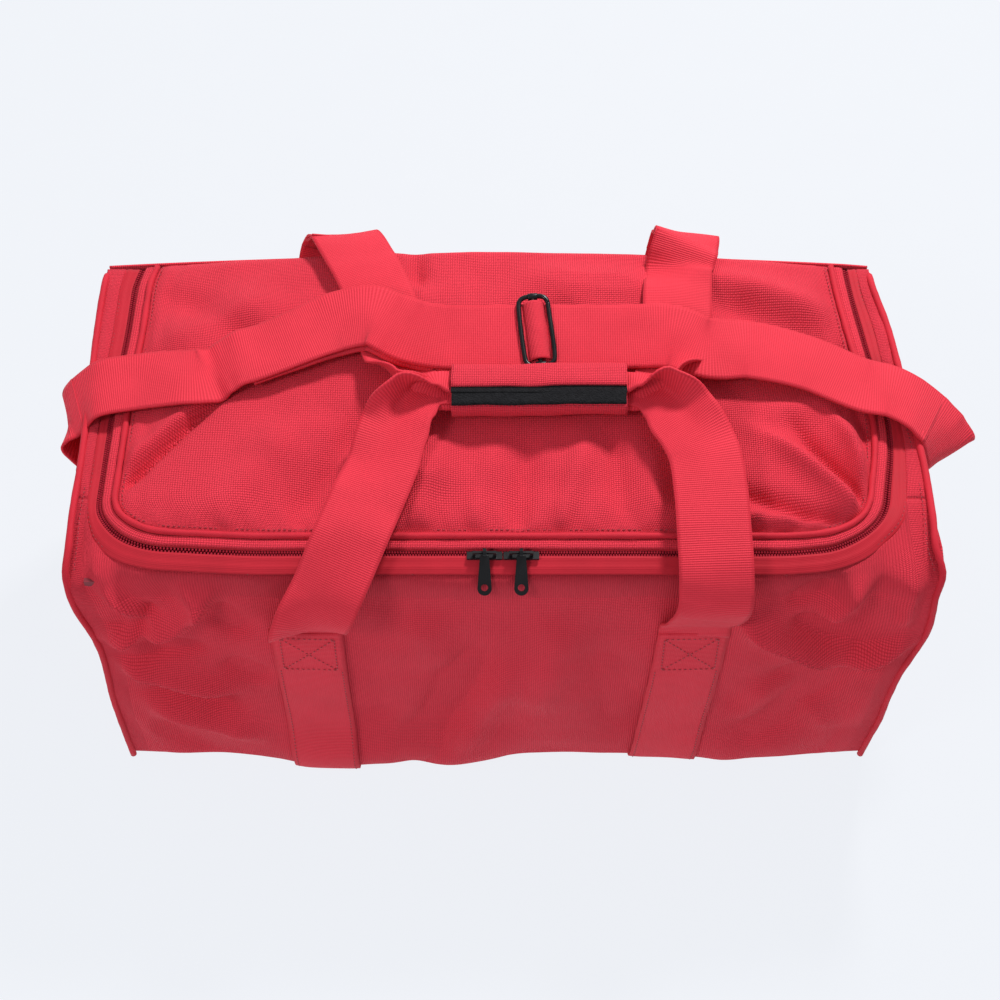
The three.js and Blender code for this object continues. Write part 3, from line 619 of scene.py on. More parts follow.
# ---- Inside the bag -------------------------------------------------------------------------------
# A stiff board lies loose on the base, and tape binds the raw end seams. They show when the lid is open.
board = Shader("base_board")
pulp = board.spots(0.004, 5)
board_black = board.set(Base_Color=board.mix(pulp, (0.012, 0.012, 0.014), (0.035, 0.035, 0.04)),
                        Roughness=0.75 + pulp * 0.2, Normal=board.bump(pulp, 0.3, 0.0005))
binding = Shader("seam_binding")
rib = (binding.split(binding.node("TexCoord", None, out="Object"))[1] * 3000).math("SINE") * 0.5 + 0.5
patch = binding.spots(0.01, 3)
binding_red = binding.set(Base_Color=binding.mix(rib * 0.4 + patch * 0.5, (0.13, 0.008, 0.016), (0.26, 0.014, 0.03)),
                          Roughness=0.8, Sheen_Weight=0.2, Normal=binding.bump(rib, 0.3, 0.0003))


def dress(node, finish, bevel=0.0, segments=2):
    """A CAD piece keeps its shape and gets its real finish, with its hard edges eased."""
    cad[node].data.materials.clear()
    cad[node].data.materials.append(finish)
    if bevel:
        eased = cad[node].modifiers.new("eased", "BEVEL")
        eased.width, eased.segments, eased.limit_method, eased.angle_limit = bevel / 1000, segments, "ANGLE", 0.6
        eased.harden_normals = False
    for face in cad[node].data.polygons:
        face.use_smooth = False


dress("base_board", board_black, 0.6)
for tag in ("left", "right"):
    dress(f"seam_binding_{tag}", binding_red)


# ---- Zip ------------------------------------------------------------------------------------------
# A coil zip in a U: each half is a woven tape with a nylon coil sewn along its edge. The body's tape
# is stitched to the cloth round its outer edge, and a folded welt shades the lid's half.
TAPE_RED = (0.62, 0.018, 0.038)


def on_u(t, offset):
    """The point a share t of the way round the zip, moved outward by offset: x, y and its nearness to the front."""
    half = t if t <= 0.5 else 1 - t
    sign = -1 if t <= 0.5 else 1
    straight = 140 - CORNER_Y
    arc = math.pi / 2 * ZIP_CORNER
    total = straight + arc + CORNER_X
    run = half * 2 * total
    if run <= straight:
        x, y, out = ZIP_SIDE + offset, 140 - run, (1, 0)
    elif run <= straight + arc:
        a = (run - straight) / ZIP_CORNER
        x, y = CORNER_X + (ZIP_CORNER + offset) * math.cos(a), CORNER_Y - (ZIP_CORNER + offset) * math.sin(a)
    else:
        x, y = CORNER_X - (run - straight - arc), ZIP_FRONT - offset
    at = settle(Vector((sign * x, y, ZIP_Z)))
    return at.x, at.y, ease((CORNER_Y - y) / ZIP_CORNER)


U_LENGTH = 2 * (210 + math.pi / 2 * ZIP_CORNER + CORNER_X)


def u_strip(d0, d1, height):
    def place(u, v):
        x, y, front = on_u(u, mix(d0, d1, v))
        return Vector((x, y, height(u, v, front)))
    return place


def ribbed_tape(name, light, deep, pitch=1.0, strength=0.4):
    """Woven tape with fine ribs along its length."""
    s = Shader(name)
    along, across, _ = s.split(s.node("UVMap", {"uv_map": "weave"}))
    ribs = (across * (6283 / pitch)).math("SINE") * 0.5 + 0.5
    picks = (along * (6283 / 0.7)).math("SINE") * 0.5 + 0.5
    weave = ribs * 0.6 + picks * 0.4
    wear = s.spots(0.02, 3)
    return s.set(Base_Color=s.mix(weave * 0.4 + wear * 0.5, deep, light), Roughness=0.6 + wear * 0.15,
                 Sheen_Weight=0.08, Specular_IOR_Level=0.2, Normal=s.bump(weave, strength, 0.0003))


tape_red = ribbed_tape("zip_tape", TAPE_RED, (0.36, 0.006, 0.016))
nylon = Shader("zip_coil")
gloss = nylon.spots(0.003, 2)
coil_red = nylon.set(Base_Color=nylon.mix(gloss, (0.24, 0.008, 0.018), (0.42, 0.014, 0.034)),
                     Roughness=0.5 + gloss * 0.2, Specular_IOR_Level=0.15, Normal=nylon.bump(gloss, 0.1, 0.0002))

ripple = lambda u, size, seed: rough_air(u * 1000, seed, 0, size, seed)
grid_piece("zip_tape_outer", 260, 8, u_strip(2.0, 13.4, lambda u, v, f: ZIP_Z - 0.5 - 5.6 * f * v + 0.5 * ripple(u,
    30, 2)
           + 0.7 * math.exp(-((v - 0.62) / 0.12) ** 2)), (U_LENGTH, 12), tape_red, wall=0.9, slot="zip_tape",
           stands_for=("zip_tape_body",), outward=(0, 0, 0))
grid_piece("zip_tape_inner", 260, 4, u_strip(-12, -2.2, lambda u, v, f: ZIP_Z - 0.6), (U_LENGTH, 10), tape_red,
           wall=0.8, body="lid", slot="zip_tape", stands_for=("zip_tape_lid",), outward=(0, 0, 0))

for half, d, body, lean in (("body", 1.35, "bag", 1), ("lid", -1.35, "lid", -1)):
    # One small loop of the coil for every tooth; the two halves are half a pitch apart.
    bm = bmesh.new()
    count = 520
    for k in range(count):
        t = (k + (0.25 if lean > 0 else 0.75)) / count
        x, y, _ = on_u(t, d)
        x2, y2, _ = on_u(min(t + 0.001, 1), d)
        angle = math.atan2(y2 - y, x2 - x)
        made = bmesh.ops.create_icosphere(bm, subdivisions=1, radius=0.5)["verts"]
        bmesh.ops.scale(bm, verts=made, vec=(0.0019, 0.0031, 0.0021))
        bmesh.ops.transform(bm, verts=made, matrix=Matrix.Translation(Vector((x, y, ZIP_Z - 0.9)) / 1000)
                            @ Matrix.Rotation(angle, 4, "Z"))
    finish_piece(f"zip_teeth_{half}", bm, coil_red, body, stands_for=(f"zip_coil_{half}",))

outer_edge = [Vector((*on_u(k / 400, 11.2)[:2], ZIP_Z + 0.2 - 5.2 * on_u(k / 400, 0)[2])) for k in range(401)]
stitches("zip_tape_stitches", outer_edge, thread_red, "bag")
inner_edge = [Vector((*on_u(k / 400, 4.6)[:2], ZIP_Z - 0.2 - 1.2 * on_u(k / 400, 0)[2])) for k in range(401)]
stitches("zip_coil_stitches", inner_edge, thread_red, "bag", long=1.5, gap=0.6, wide=0.5)


# ---- Lid ------------------------------------------------------------------------------------------
# One piece of cloth, softly domed, with a corded edge. The welt, a folded strip of cloth sewn under
# the cord, stands over the zip. The cloth creases where the strap, the handles and the corners pull.
LID_EDGE = -15
LID_CORNER = ZIP_CORNER + LID_EDGE
LID_FOLDS = [
    ((-196, 10), (-250, -70), 4, -9, 1.9), ((-206, 4), (-256, -58), 6, 4, 1.4),
    ((252, -96), (186, -26), 7, 9, 1.8), ((256, -86), (226, -10), 6, 9, 1.8), ((258, -74), (258, -4), 6, 4, 1.5),
    ((240, -100), (150, -64), 7, -7, 1.5), ((254, -92), (204, -18), 5, -8, 1.6), ((238, -100), (124, -84), 6, 4, 1.4),
    ((258, -82), (242, -6), 5, -5, 1.6), ((-140, -90), (-96, -20), 13, -5, 1.2), ((-190, -92), (-150, -20), 17, 4, 1),
    ((-60, -96), (-40, -30), 11, 4, 1.2), ((10, -98), (22, -30), 10, -4, 1.3), ((40, -98), (60, -30), 9, 4, 1.3),
    ((84, -96), (80, -30), 9, -4, 1.3), ((-20, -98), (-6, -40), 9, 3, 1.3), ((112, -96), (104, -40), 9, 3, 1.3),
    ((-64, 152), (-60, 112), 7, -5, 1.5), ((-100, 146), (-92, 60), 18, 4, 1), ((-232, 110), (-180, 60), 14, -5, 1.2),
    ((-236, 60), (-170, 100), 17, 5, 1.2), ((150, 120), (230, 96), 14, 6, 1.2), ((160, 96), (236, 70), 14, -5, 1.2),
    ((170, 60), (240, 40), 18, -5, 1), ((20, 120), (110, 110), 16, 4, 1), ((-20, 60), (60, 80), 20, -4, 1),
    ((190, -10), (236, 20), 12, 4, 1.2), ((118, -70), (160, -20), 14, -4, 1.1), ((-30, -60), (-110, -44), 14, 4, 1),
]


def lid_z(x, y):
    across = max(1 - abs(x / 250) ** 3, 0)
    return ZIP_Z + 4 + 15 * across * ease((y + 100) / 150) * (1 - 0.25 * ease((y - 60) / 90))


def lid_half(y):
    reach = LID_CORNER + 1.8
    sine = clamp((CORNER_Y - y) / reach)
    return CORNER_X + reach * math.sqrt(1 - sine * sine)


def lid_point(u, v):
    corner = 0.16
    if v < corner:
        row = CORNER_Y - (LID_CORNER + 1.8) * math.cos(math.pi / 2 * v / corner)
    else:
        row = mix(CORNER_Y, 140, (v - corner) / (1 - corner))
    spread = 2 * u - 1
    spread = math.copysign(1 - (1 - abs(spread)) ** 1.15, spread)
    x = lid_half(row) * spread
    back_edge = back_y(x, 250) + 1.4
    y = row if v < corner else mix(CORNER_Y, back_edge, (v - corner) / (1 - corner))
    edge = min(lid_half(row) - abs(x), y + 101.8)
    puff = 6.5 * (1 - math.exp(-max(edge, 0) / 11)) * (1 - ease((y + 100) / 150) * 0.7)
    z = lid_z(x, y) - 1.5 + puff
    hold = ease(edge / 9) * ease((back_edge - y) / 14)
    slack = sum(fold(x, y, *f[:2], f[2], f[3], f[4]) for f in LID_FOLDS)
    slack = slack * 1.5 + 2.6 * rough_air(x, y, 0, 58, 6.0) + 1.2 * rough_air(x, y, 4, 22, 8.0)
    pucker = 1.0 * math.sin(x * 0.33 + 2 * rough_air(x, y, 0, 33)) * math.exp(-((edge - 9) / 8) ** 2)
    z += slack * hold + pucker * ease(edge / 6)
    z = mix(z, 249.5, clamp(1 - (back_edge - y) / 15) ** 2.2)   # rolls over the back edge on to the back cloth
    return Vector((x, y, min(z, 274)))


lid = grid_piece("lid_cloth", 200, 110, settled(lid_point), (500, 262), cloth_red, wall=1.6, body=None,
                 stands_for=("lid_panel",), outward=(0, 0, 0))
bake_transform(lid)

cord_line = [(*on_u(k / 60, LID_EDGE + 3.2)[:2], ZIP_Z + 4.0 + 0.5 * ripple(k / 60, 60, 5)) for k in range(61)]
tube("lid_edge_piping", cord_line, 300, 2.3, piping_red, "lid", wander=0.15, slot="piping",
     stands_for=("lid_piping",))
lid_row = [Vector((*on_u(k / 400, LID_EDGE - 1.4)[:2], ZIP_Z + 4.2)) for k in range(401)]
stitches("lid_edge_stitches", lid_row, thread_red, "lid")


def welt_point(u, v):
    # The strip's section: under face, round nose towards the zip, top face.
    ring = [(-10.2, -0.2), (-3.4, -0.6), (-2.6, 0.6), (-3.6, 1.8), (-7.0, 2.6), (-10.2, 2.3)]
    k = v * len(ring)
    a, b = ring[int(k) % len(ring)], ring[(int(k) + 1) % len(ring)]
    share = k - int(k)
    x, y, _ = on_u(u, mix(a[0], b[0], share) + 0.5 * ripple(u, 40, 3))
    return Vector((x, y, ZIP_Z + 0.6 + mix(a[1], b[1], share) + 0.35 * ripple(u, 17, 1)))


grid_piece("lid_welt_fold", 300, 12, welt_point, (U_LENGTH, 18), cloth_red, body="lid", close=("ring", "ends"),
           stands_for=("lid_welt",))


# ---- Zip end tabs ---------------------------------------------------------------------------------
# A small folded tab of cloth closes each end of the zip at the back edge.
for side, tag in ((-1, "left"), (1, "right")):
    def tab_point(u, v, side=side):
        x = side * (ZIP_SIDE + 1) + 18 * (u - 0.5)
        z = mix(233, 248.5, v)
        return Vector((x, back_y(x, z) + 1.9 + 0.8 * math.sin(math.pi * u) * math.sin(math.pi * v), z))

    grid_piece(f"zip_tab_{tag}", 12, 10, settled(tab_point), (18, 16), cloth_red, wall=1.5,
               stands_for=(f"zip_end_tab_{tag}",))


# ---- Belts ----------------------------------------------------------------------------------------
# Ribbed 50 mm polypropylene webbing is sewn flat round the bag, with a row of stitches near each edge
# and a crossed box where the handles leave it.
WEB_RED = (0.86, 0.045, 0.078)
WEB_DEEP = (0.50, 0.010, 0.024)


def ribbed_web(name, light, deep, pitch=1.55, strength=0.75):
    """Webbing: ribs across its width, each made of short floats, and a plainer woven edge."""
    s = Shader(name)
    along, across, _ = s.split(s.node("UVMap", {"uv_map": "weave"}))
    uneven = s.spots(0.006, 2, s.node("UVMap", {"uv_map": "weave"}))
    ribs = ((along * (6283 / pitch)) + uneven * 0.9).math("SINE") * 0.5 + 0.5
    floats = (across * (6283 / 1.3)).math("SINE") * 0.5 + 0.5
    edge = ((across - 0.025).math("ABSOLUTE") > 0.0232)
    weave = (ribs * 0.75 + floats * 0.25) * (1 - edge * 0.5)
    wear = s.spots(0.03, 4)
    fuzz = s.spots(0.0009, 2)
    colour = s.mix(weave * 0.6 + wear * 0.4 + fuzz * 0.2 - 0.1, deep, light)
    return s.set(Base_Color=colour, Roughness=0.6 + wear * 0.2, Sheen_Weight=0.1, Sheen_Roughness=0.45,
                 Sheen_Tint=(1, 0.4, 0.45), Specular_IOR_Level=0.22,
                 Normal=s.bump(weave, strength, 0.0005, s.bump(fuzz, 0.1, 0.0002)))


web_red = ribbed_web("webbing", WEB_RED, WEB_DEEP)
BELT_X, BELT_TOP = 135, 192


def belt_lean(side, z):
    """The belts weren't sewn quite square: their feet stand a little to the left."""
    return (z - 190) * (0.055 if side > 0 else -0.012)


for side, tag in ((-1, "left"), (1, "right")):
    def front_belt(u, v, side=side):
        z = mix(2, BELT_TOP, v)
        x = side * BELT_X + (u - 0.5) * 50 + belt_lean(side, z)
        wave = 0.5 * rough_air(x, 0, z, 30, side) + 0.6 * math.exp(-((u - 0.5) / 0.47) ** 8)
        return Vector((x, front_y(x, z) + 6 * (1 - clamp(z / 10)) ** 2 - 2.3 - wave, z))

    def back_belt(u, v, side=side):
        z = mix(2, 214, v)
        x = side * BELT_X + (u - 0.5) * 50
        return Vector((x, back_y(x, z) + 2.2 - 5 * (1 - clamp(z / 10)) ** 2 + 0.5 * rough_air(x, 1, z, 30, side), z))

    def base_belt(u, v, side=side):
        x = side * BELT_X + (u - 0.5) * 50
        y = mix(-DEPTH / 2 + 4, DEPTH / 2 - 3, v)
        return Vector((x, y, 1.6))

    for name, place, long, stands, offset in (
            (f"belt_front_{tag}", front_belt, 192, f"front_belt_{tag}", -1.0),
            (f"belt_back_{tag}", back_belt, 214, f"back_belt_{tag}", -1.0),
            (f"belt_base_{tag}", base_belt, 276, f"base_belt_{tag}", -1.0)):
        turned = lambda u, v, place=place: place(v, u)
        grid_piece(name, 70, 12, turned, (long, 50), web_red, wall=1.5, stands_for=(stands,), slot="webbing",
                   offset=offset)
    for row in (-22, 22):
        line = [Vector((side * BELT_X + row + belt_lean(side, z), 0, z)) for z in range(8, 150, 4)]
        line = [Vector((p.x, front_y(p.x, p.z) - 2.9, p.z)) for p in line]
        stitches(f"belt_stitches_{tag}_{'out' if row * side > 0 else 'in'}", line, thread_red, "bag",
                 up=(0, -1, 0))
    box = [(-19, 150), (19, 150), (19, 186), (-19, 186), (-19, 150), (19, 186), (19, 150), (-19, 186)]
    for n, ((xa, za), (xb, zb)) in enumerate(zip(box, box[1:])):
        line = [Vector((side * BELT_X + mix(xa, xb, k / 12) + belt_lean(side, 170), 0, mix(za, zb, k / 12)))
                for k in range(13)]
        line = [Vector((p.x, front_y(p.x, p.z) - 3.2, p.z)) for p in line]
        stitches(f"belt_box_{tag}_{n}", line, thread_red, "bag", up=(0, -1, 0))


# ---- Handles --------------------------------------------------------------------------------------
# The belts' loose loops. Each comes off its belt, bends over the edge of the bag and folds in half
# along its length where it goes into the grip.
def webbing(name, stations, steps, body, stands_for, finish=None, wide=50, thick=1.7, ripple_size=0.5, lanes=16):
    """Webbing along stations: (x, y, z), across (x, y, z), and how far its far half is folded over, 0 to 1."""
    line, length = route([s[:3] for s in stations], steps)
    marks = [0.0]
    for a, b in zip(stations, stations[1:]):
        marks.append(marks[-1] + (Vector(b[:3]) - Vector(a[:3])).length)
    marks = [m / marks[-1] for m in marks]

    def at(t):
        k = max(i for i in range(len(marks) - 1) if marks[i] <= t + 1e-9)
        share = ease((t - marks[k]) / (marks[k + 1] - marks[k]))
        a, b = stations[k], stations[k + 1]
        lean = Vector(a[3:6]).lerp(Vector(b[3:6]), share)
        return lean, mix(a[6] if len(a) > 6 else 0, b[6] if len(b) > 6 else 0, share)

    def place(u, v):
        k = round(u * steps)
        lean, shut = at(k / steps)
        along = slope(line, k)
        lean = (lean - along * lean.dot(along)).normalized()
        up = along.cross(lean)
        if up.z < -0.2:
            up.negate()
        s = (v - 0.5) * wide
        angle = math.pi * shut
        if s <= 0:
            cross, rise = s, 0.0
        else:
            # The far half turns over the near one round a soft fold.
            bend = min(s, 6.0)
            turned = angle * bend / 6.0
            cross = math.sin(turned) / max(turned, 1e-6) * bend if angle > 0.01 else bend
            rise = (1 - math.cos(turned)) / max(turned, 1e-6) * bend if angle > 0.01 else 0
            rest = s - bend
            cross += math.cos(angle) * rest
            rise += math.sin(angle) * rest
        cross += 12.5 * shut
        free = ease(min(u, 1 - u) * length / 40)
        cup = 0.8 * (1 - (2 * v - 1) ** 2) * (1 - shut) * free
        wave = ripple_size * free * rough_air(*(line[k] + lean * s), 26, 3)
        return line[k] + lean * cross + up * (rise + cup + wave)

    return grid_piece(name, steps, lanes, place, (length, wide), finish or web_red, wall=thick, body=body,
                      stands_for=stands_for, slot="webbing", offset=0.0)


HOLD_Y, FRONT_HOLD_Z, BACK_HOLD_Z = -1, 285.2, 279.6
front_loop = [
    (-135, front_y(-135, 188) - 1.9, 188, -1, 0, 0), (-135, front_y(-135, 197) - 2.4, 197, -1, 0, -0.08),
    (-133, -154, 214, -0.94, -0.08, -0.34), (-120, -150, 242, -0.96, 0.1, -0.22), (-100, -114, 271, -1, 0.05, 0),
    (-90, -88, 276, -0.97, -0.1, 0.1), (-80, -60, 278, -0.85, 0.4, 0), (-72, -34, 281, -0.6, 0.8, 0, 0.1),
    (-60, -12, 284.5, -0.25, 0.97, 0, 0.45), (-46, HOLD_Y, FRONT_HOLD_Z, 0, 1, 0, 0.85),
    (-30, HOLD_Y, FRONT_HOLD_Z, 0, 1, 0, 1), (27, HOLD_Y, FRONT_HOLD_Z, 0, 1, 0, 1),
    (84, HOLD_Y, FRONT_HOLD_Z, 0, 1, 0, 1), (98, HOLD_Y - 1, FRONT_HOLD_Z, 0, 1, 0, 0.85),
    (112, -9, 285.5, 0.3, 0.95, 0.05, 0.45), (125, -26, 285.5, 0.7, 0.7, 0.1, 0.12),
    (138, -50, 284, 0.97, 0.25, 0.05), (142, -82, 280, 1, 0, 0), (143, -110, 273, 1, 0, 0),
    (144, -136, 262, 1, 0, 0), (144, -152, 240, 1, 0, 0.02), (139, -149, 217, 1, 0, 0.04),
    (135.5, front_y(135, 199) - 2.6, 199, 1, 0, 0), (135, front_y(135, 188) - 1.9, 188, 1, 0, 0),
]
handle = webbing("handle_front", front_loop, 260, None, ("front_handle",))
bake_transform(handle)

back_loop = [
    (-133, back_y(-133, 200) + 3.4, 200, -1, 0, 0), (-133, back_y(-133, 221) + 4.4, 221, -1, 0, 0),
    (-128, 165, 246, -1, 0, 0), (-118, 158, 270, -1, -0.1, 0), (-103, 128, 277, -1, 0, 0), (-90, 98, 277, -1, 0, 0),
    (-80, 66, 276, -0.95, -0.3, 0), (-73, 38, 275.5, -0.75, -0.65, 0, 0.1),
    (-62, 13, 276.5, -0.3, -0.95, 0, 0.5), (-46, HOLD_Y, BACK_HOLD_Z, 0, -1, 0, 0.9),
    (-30, HOLD_Y, BACK_HOLD_Z, 0, -1, 0, 1), (27, HOLD_Y, BACK_HOLD_Z, 0, -1, 0, 1),
    (84, HOLD_Y, BACK_HOLD_Z, 0, -1, 0, 1), (100, HOLD_Y, BACK_HOLD_Z, 0, -1, 0, 0.9),
    (112, 12, 277, 0.35, -0.95, 0, 0.5), (119, 36, 276, 0.8, -0.6, 0, 0.1), (127, 64, 276, 0.97, -0.2, 0),
    (130, 98, 276, 1, 0, 0), (133, 124, 273, 0.96, 0.2, 0.2), (139, 142, 281, 0.9, -0.35, -0.25), (140, 161, 268,
        0.97, -0.2, 0.15),
    (137, 165, 246, 1, 0, 0),
    (133, back_y(133, 221) + 4.4, 221, 1, 0, 0), (133, back_y(133, 200) + 3.4, 200, 1, 0, 0),
]
webbing("handle_back", back_loop[2:-2], 250, "back_handle_body", ("back_handle",))
# Its two feet stay on the belts and follow the lid from the hinge line up.
for tag, feet in (("left", back_loop[:4]), ("right", back_loop[:-6:-1])):
    foot = webbing(f"handle_back_foot_{tag}", [(x, y - 0.5, *rest) for x, y, *rest in feet], 60, None, (), wide=49,
                   thick=1.2, ripple_size=0.2)
    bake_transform(foot)


# ---- Grip -----------------------------------------------------------------------------------------
# A padded cloth wrap round both handles. Its flap lies half open, so the loop side of the
# hook-and-loop tape shows as a black strip along the top.
GRIP_X, GRIP_LONG = 27, 122


def section_piece(name, section, long, finish, body, stands_for, slot, wall=None, sway=1.0, rounds=10,
                  close=("ring", "ends"),
                  steps=50, puff=0.0):
    """A strip along X with the given section (y, z), its corners eased by resampling."""
    ring, around = route([(0, y, z) for y, z in section], rounds * len(section))

    def place(u, v):
        p = ring[round(v * rounds * len(section))]
        x = GRIP_X + (u - 0.5) * long
        end = math.exp(-((0.5 - abs(u - 0.5)) * long / 4) ** 2)
        soft = sway * (0.8 * rough_air(x, p.y, p.z, 22, 2) + 0.5 * math.sin((u - 0.5) * 5))
        centre = Vector((0, -2, 283))
        out = (Vector((0, p.y, p.z)) - centre)
        return Vector((x + sway * 0.9 * rough_air(p.y, p.z, u, 12, 4) * end, p.y + soft * 0.6, p.z + soft)) \
            + out.normalized() * (puff * math.sin(math.pi * u) ** 0.4)
    return grid_piece(name, steps, rounds * len(section), place, (long, around), finish, wall=wall, body=body,
                      close=close, stands_for=stands_for, slot=slot)


wrap_section = [(-6.2, 289.0), (-16.0, 289.2), (-18.4, 286.8), (-18.4, 280), (-16.8, 277), (-10, 276.2), (0, 276.0),
                (10, 276.2), (15, 277.2), (16.2, 281), (16.2, 286.5), (15.4, 288.4), (13.2, 288.4), (12.6, 285),
                (12.4, 281), (10, 279.4), (0, 278.9), (-10, 279.2), (-14.4, 281), (-14.6, 286), (-13.4, 287.2),
                (-6.2, 287.3), (-6.2, 289.0)]
wrap = section_piece("grip_pad", wrap_section, GRIP_LONG, cloth_red, "back_handle_body", ("grip_wrap",), "cloth",
                     rounds=3)
flap_section = [(-3.6, 292.8), (-3.8, 294.4), (-1, 295.6), (5, 295.9), (12, 295.4), (16, 293.4), (17.0, 290.6),
                (15.2, 290.2),
                (13.2, 292.0), (8, 293.2), (0, 293.0), (-3.6, 292.8)]
flap = section_piece("grip_flap_cloth", flap_section, GRIP_LONG, cloth_red, "grip_flap_body", ("grip_flap",),
                     "cloth", rounds=4)

pile = Shader("hook_and_loop")
hooks = pile.node("TexVoronoi", {"feature": "F1"}, out="Distance", Vector=pile.node("TexCoord", None, out="Object"),
                  Scale=900.0)
nap = pile.spots(0.004, 4)
pile_black = pile.set(Base_Color=pile.mix(nap * 0.7 + hooks * 0.4, (0.002, 0.002, 0.0025), (0.016, 0.016, 0.018)),
                      Roughness=0.95, Sheen_Weight=0.03, Sheen_Roughness=0.6, Specular_IOR_Level=0.1,
                      Normal=pile.bump(hooks * 0.6 + nap * 0.4, 0.9, 0.0012))
section_piece("grip_loop_strip", [(-17.4, 289.9), (-17.2, 291.0), (-12, 292.0), (-2.6, 292.3), (-2.2, 290.6), (-12,
    290.0),
              (-17.4, 289.9)], GRIP_LONG - 1, pile_black, "back_handle_body", ("grip_loop_tape",), "hook_tape",
              rounds=4)
dress("grip_hook_tape", pile_black, 0.4)
lip = [Vector((GRIP_X + x, -17.9, 289.2)) for x in range(-58, 59, 4)]
stitches("grip_edge_stitches", lip, thread_red, "back_handle_body", long=2.2, up=(0, -0.6, 0.8))


# ---- Shoulder strap -------------------------------------------------------------------------------
# The same webbing, 50 mm wide and 1.7 mm thick. It lies across the lid, doubled on the left as far as
# the adjuster, with soft creases where it was once folded.
RUN = (46, 286.5, 0, 0.97, 0.24)
strap_line = [
    (-303, 12, 250.5, -0.32, 0.94, -0.05), (-288, 17, 262.5, -0.14, 0.99, 0), (-257, 23, 264.5, -0.1, 0.99, 0),
    (-226, 22.5, 270, -0.03, 0.99, -0.03), (-212, 24.5, 269, -0.06, 0.99, -0.02), (-204, 28, 267.2, -0.1, 0.99, 0),
    (-196, 32, 270.4, -0.14, 0.99, 0.02), (-186, 36, 275, -0.13, 0.98, 0.02),
    (-172, 40, 277, -0.12, 0.99, 0), (-144, 50, 282, -0.12, 0.99, 0.03), (-116, 60, 287, -0.18, 0.97, 0.12),
    (-92, 62, 291, -0.2, 0.97, 0.14), (-78, 57, 289, -0.16, 0.97, 0.18), (-62, 50, 287.5, -0.08, 0.97, 0.22),
    *[(x, *RUN) for x in (-40, 0, 44, 88, 122)],
    (146, 38, 284, 0.2, 0.97, 0.12), (176, 40, 280, 0.2, 0.97, 0.03), (218, 32, 274.5, 0.22, 0.97, -0.03),
    (258, 16, 269, 0.2, 0.97, -0.05), (278, 12, 267, 0.22, 0.97, -0.08), (294, 5, 263, 0.36, 0.92, -0.12),
    (309, -4, 254, 0.58, 0.79, -0.2),
]
webbing("strap_webbing", strap_line, 300, "strap", ("strap_main",), ripple_size=0.8)
under_line = [(-182, 37, 272.4, -0.13, 0.98, 0), (-172, 40.5, 273.6, -0.12, 0.99, 0),
              (-144, 49.5, 278.4, -0.12, 0.99, 0.03), (-116, 58.5, 283.4, -0.18, 0.97, 0.12),
              (-92, 60, 287.2, -0.2, 0.97, 0.14), (-64, 49, 284.2, -0.1, 0.97, 0.2),
              (-40, 44.6, 283.4, 0, 0.97, 0.24), (8, 44.6, 283.4, 0, 0.97, 0.24)]
webbing("strap_doubled_end", under_line, 120, "strap", ("strap_return",), ripple_size=0.3)

ends = {
    "left": [(-302.2, 12.4, 251.6, -0.32, 0.94, -0.05), (-309.5, 9.5, 243, -0.28, 0.95, -0.03),
             (-311, 6.5, 235, -0.12, 0.99, 0), (-307, 4.2, 228, 0, 1, 0), (-303.6, 4, 221, 0, 1, 0)],
    "right": [(303, -0.4, 257.4, 0.5, 0.85, -0.17), (309, -4, 253.6, 0.58, 0.79, -0.2), (317, -11, 243, 0.74, 0.64,
        -0.22),
              (322, -15, 230, 0.8, 0.56, -0.26), (319, -11, 219, 0.62, 0.76, -0.15), (311, -1, 216, 0.2, 0.97, 0),
              (303.6, 4, 220, 0, 1, 0)],
}
for side, tag in ((-1, "left"), (1, "right")):
    end = webbing(f"strap_tail_{tag}", ends[tag], 60, None, (f"strap_end_{tag}",), ripple_size=0.2)
    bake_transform(end)


# ---- Black metal: adjuster, hooks, rings, zip sliders -------------------------------------------------
# Steel wire and zinc castings in glossy black enamel, with soft smudges in its colour and gloss.
enamel = Shader("black_enamel")
orange_peel = enamel.spots(0.0016, 2)
smudge = enamel.spots(0.02, 3)
metal_black = enamel.set(
    Base_Color=enamel.mix(smudge, (0.003, 0.003, 0.0035), (0.012, 0.012, 0.014)), Metallic=0.0,
    Roughness=0.18 + smudge * 0.15, Specular_IOR_Level=0.25,
    Normal=enamel.bump(orange_peel, 0.08, 0.0003))

RUN_TURN = math.atan2(0.24, 0.97)


def on_run(x, across, up):
    """A point on the strap's straight run: along it, across it and above it. The frame sits a little askew."""
    x, across = x - across * 0.11, across + x * 0.11
    lean = Vector((0, math.cos(RUN_TURN), math.sin(RUN_TURN)))
    return Vector((26 + x, 46, 286.5)) + lean * (across + 3) + Vector((0, -lean.z, lean.y)) * up


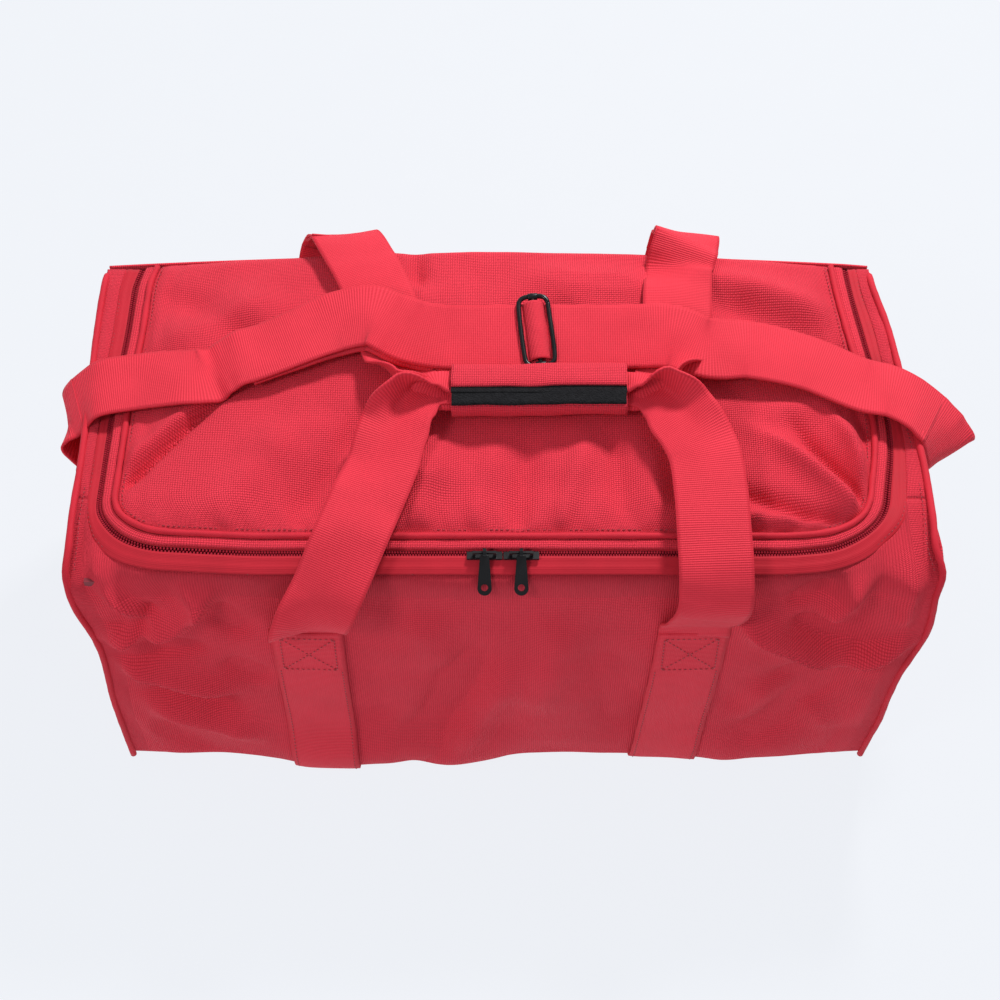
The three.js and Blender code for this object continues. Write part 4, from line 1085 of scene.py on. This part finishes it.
corner, half_long, half_wide = 6, 10.4, 27.0
frame_line = []
for cx, cy, turn in ((1, 1, 0), (-1, 1, 90), (-1, -1, 180), (1, -1, 270)):
    for step in range(0, 91, 30):
        a = math.radians(turn + step)
        frame_line.append(on_run(cx * (half_long - corner) + corner * math.cos(a),
                                 cy * (half_wide - corner) + corner * math.sin(a), 3.4))
tube("adjuster_wire", frame_line + frame_line[:1], 120, 1.75, metal_black, "adjuster",
                  slot="black_metal",
                  stands_for=("adjuster_frame",))
tube("adjuster_cross_bar", [on_run(0, a, 4.0) for a in (-26, -12, 0, 12, 26)], 40, 1.5, metal_black, "adjuster",
     slot="black_metal", stands_for=("adjuster_bar",))
for name, across in (("adjuster_crimp_low", -26.6), ("adjuster_crimp_high", 26.6)):
    tube(name, [on_run(-3.2, across, 3.6), on_run(0, across, 3.9), on_run(3.2, across, 3.6)], 12, 2.6, metal_black,
         "adjuster", slot="black_metal")


def sleeve_point(u, v):
    hump = math.sin(math.pi * u)
    return on_run(mix(-7.6, 7.6, u), (v - 0.5) * 45, 1.2 + 6.0 * hump ** 0.7 + 0.3 * rough_air(u * 20, v * 40, 0, 9))


grid_piece("adjuster_fold", 24, 30, sleeve_point, (24, 45), web_red, wall=1.6, body="adjuster", slot="webbing",
           stands_for=("adjuster_sleeve",), outward=(26, 40, 270))

for tag in ("left", "right"):
    for node, ease_by in ((f"swivel_eye_{tag}", 0.9), (f"hook_{tag}", 1.3), (f"gate_{tag}", 1.0), (f"d_ring_{tag}",
        1.2),
                          (f"slider_{tag}", 0.35), (f"pull_{tag}", 0.35)):
        dress(node, metal_black, ease_by, 3)


# ---- Ring tabs ------------------------------------------------------------------------------------
# A short loop of webbing sewn to each end holds the ring by its straight side.
for side, tag in ((-1, "left"), (1, "right")):
    low, high = (c * 1000 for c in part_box(f"d_ring_tab_{tag}"))
    inner, outer = (low.x, high.x) if side > 0 else (high.x, low.x)
    tab = [(inner + side * 0.9, low.z - 22), (inner + side * 0.9, low.z + 4), (inner + side * 0.9, 145),
           (inner + side * 0.8, 153),
           (297, 157.6) if side > 0 else (-297, 157.6), (outer - side * 0.6, 153), (outer - side * 1.6, 145),
           (inner + side * 3.6, 138), (inner + side * 2.8, 122), (inner + side * 2.6, low.z - 20)]
    webbing(f"ring_tab_{tag}", [(x, 4, z, 0, 1, 0) for x, z in tab], 90, "bag", (f"d_ring_tab_{tag}",), wide=46,
            thick=1.3,
            ripple_size=0.1)
    for n, z in enumerate((104, 130)):
        row = [Vector((inner + side * 3.9, y, z)) for y in range(-15, 24, 4)]
        stitches(f"ring_tab_stitches_{tag}_{n}", row, thread_red, "bag", up=(side, 0, 0))
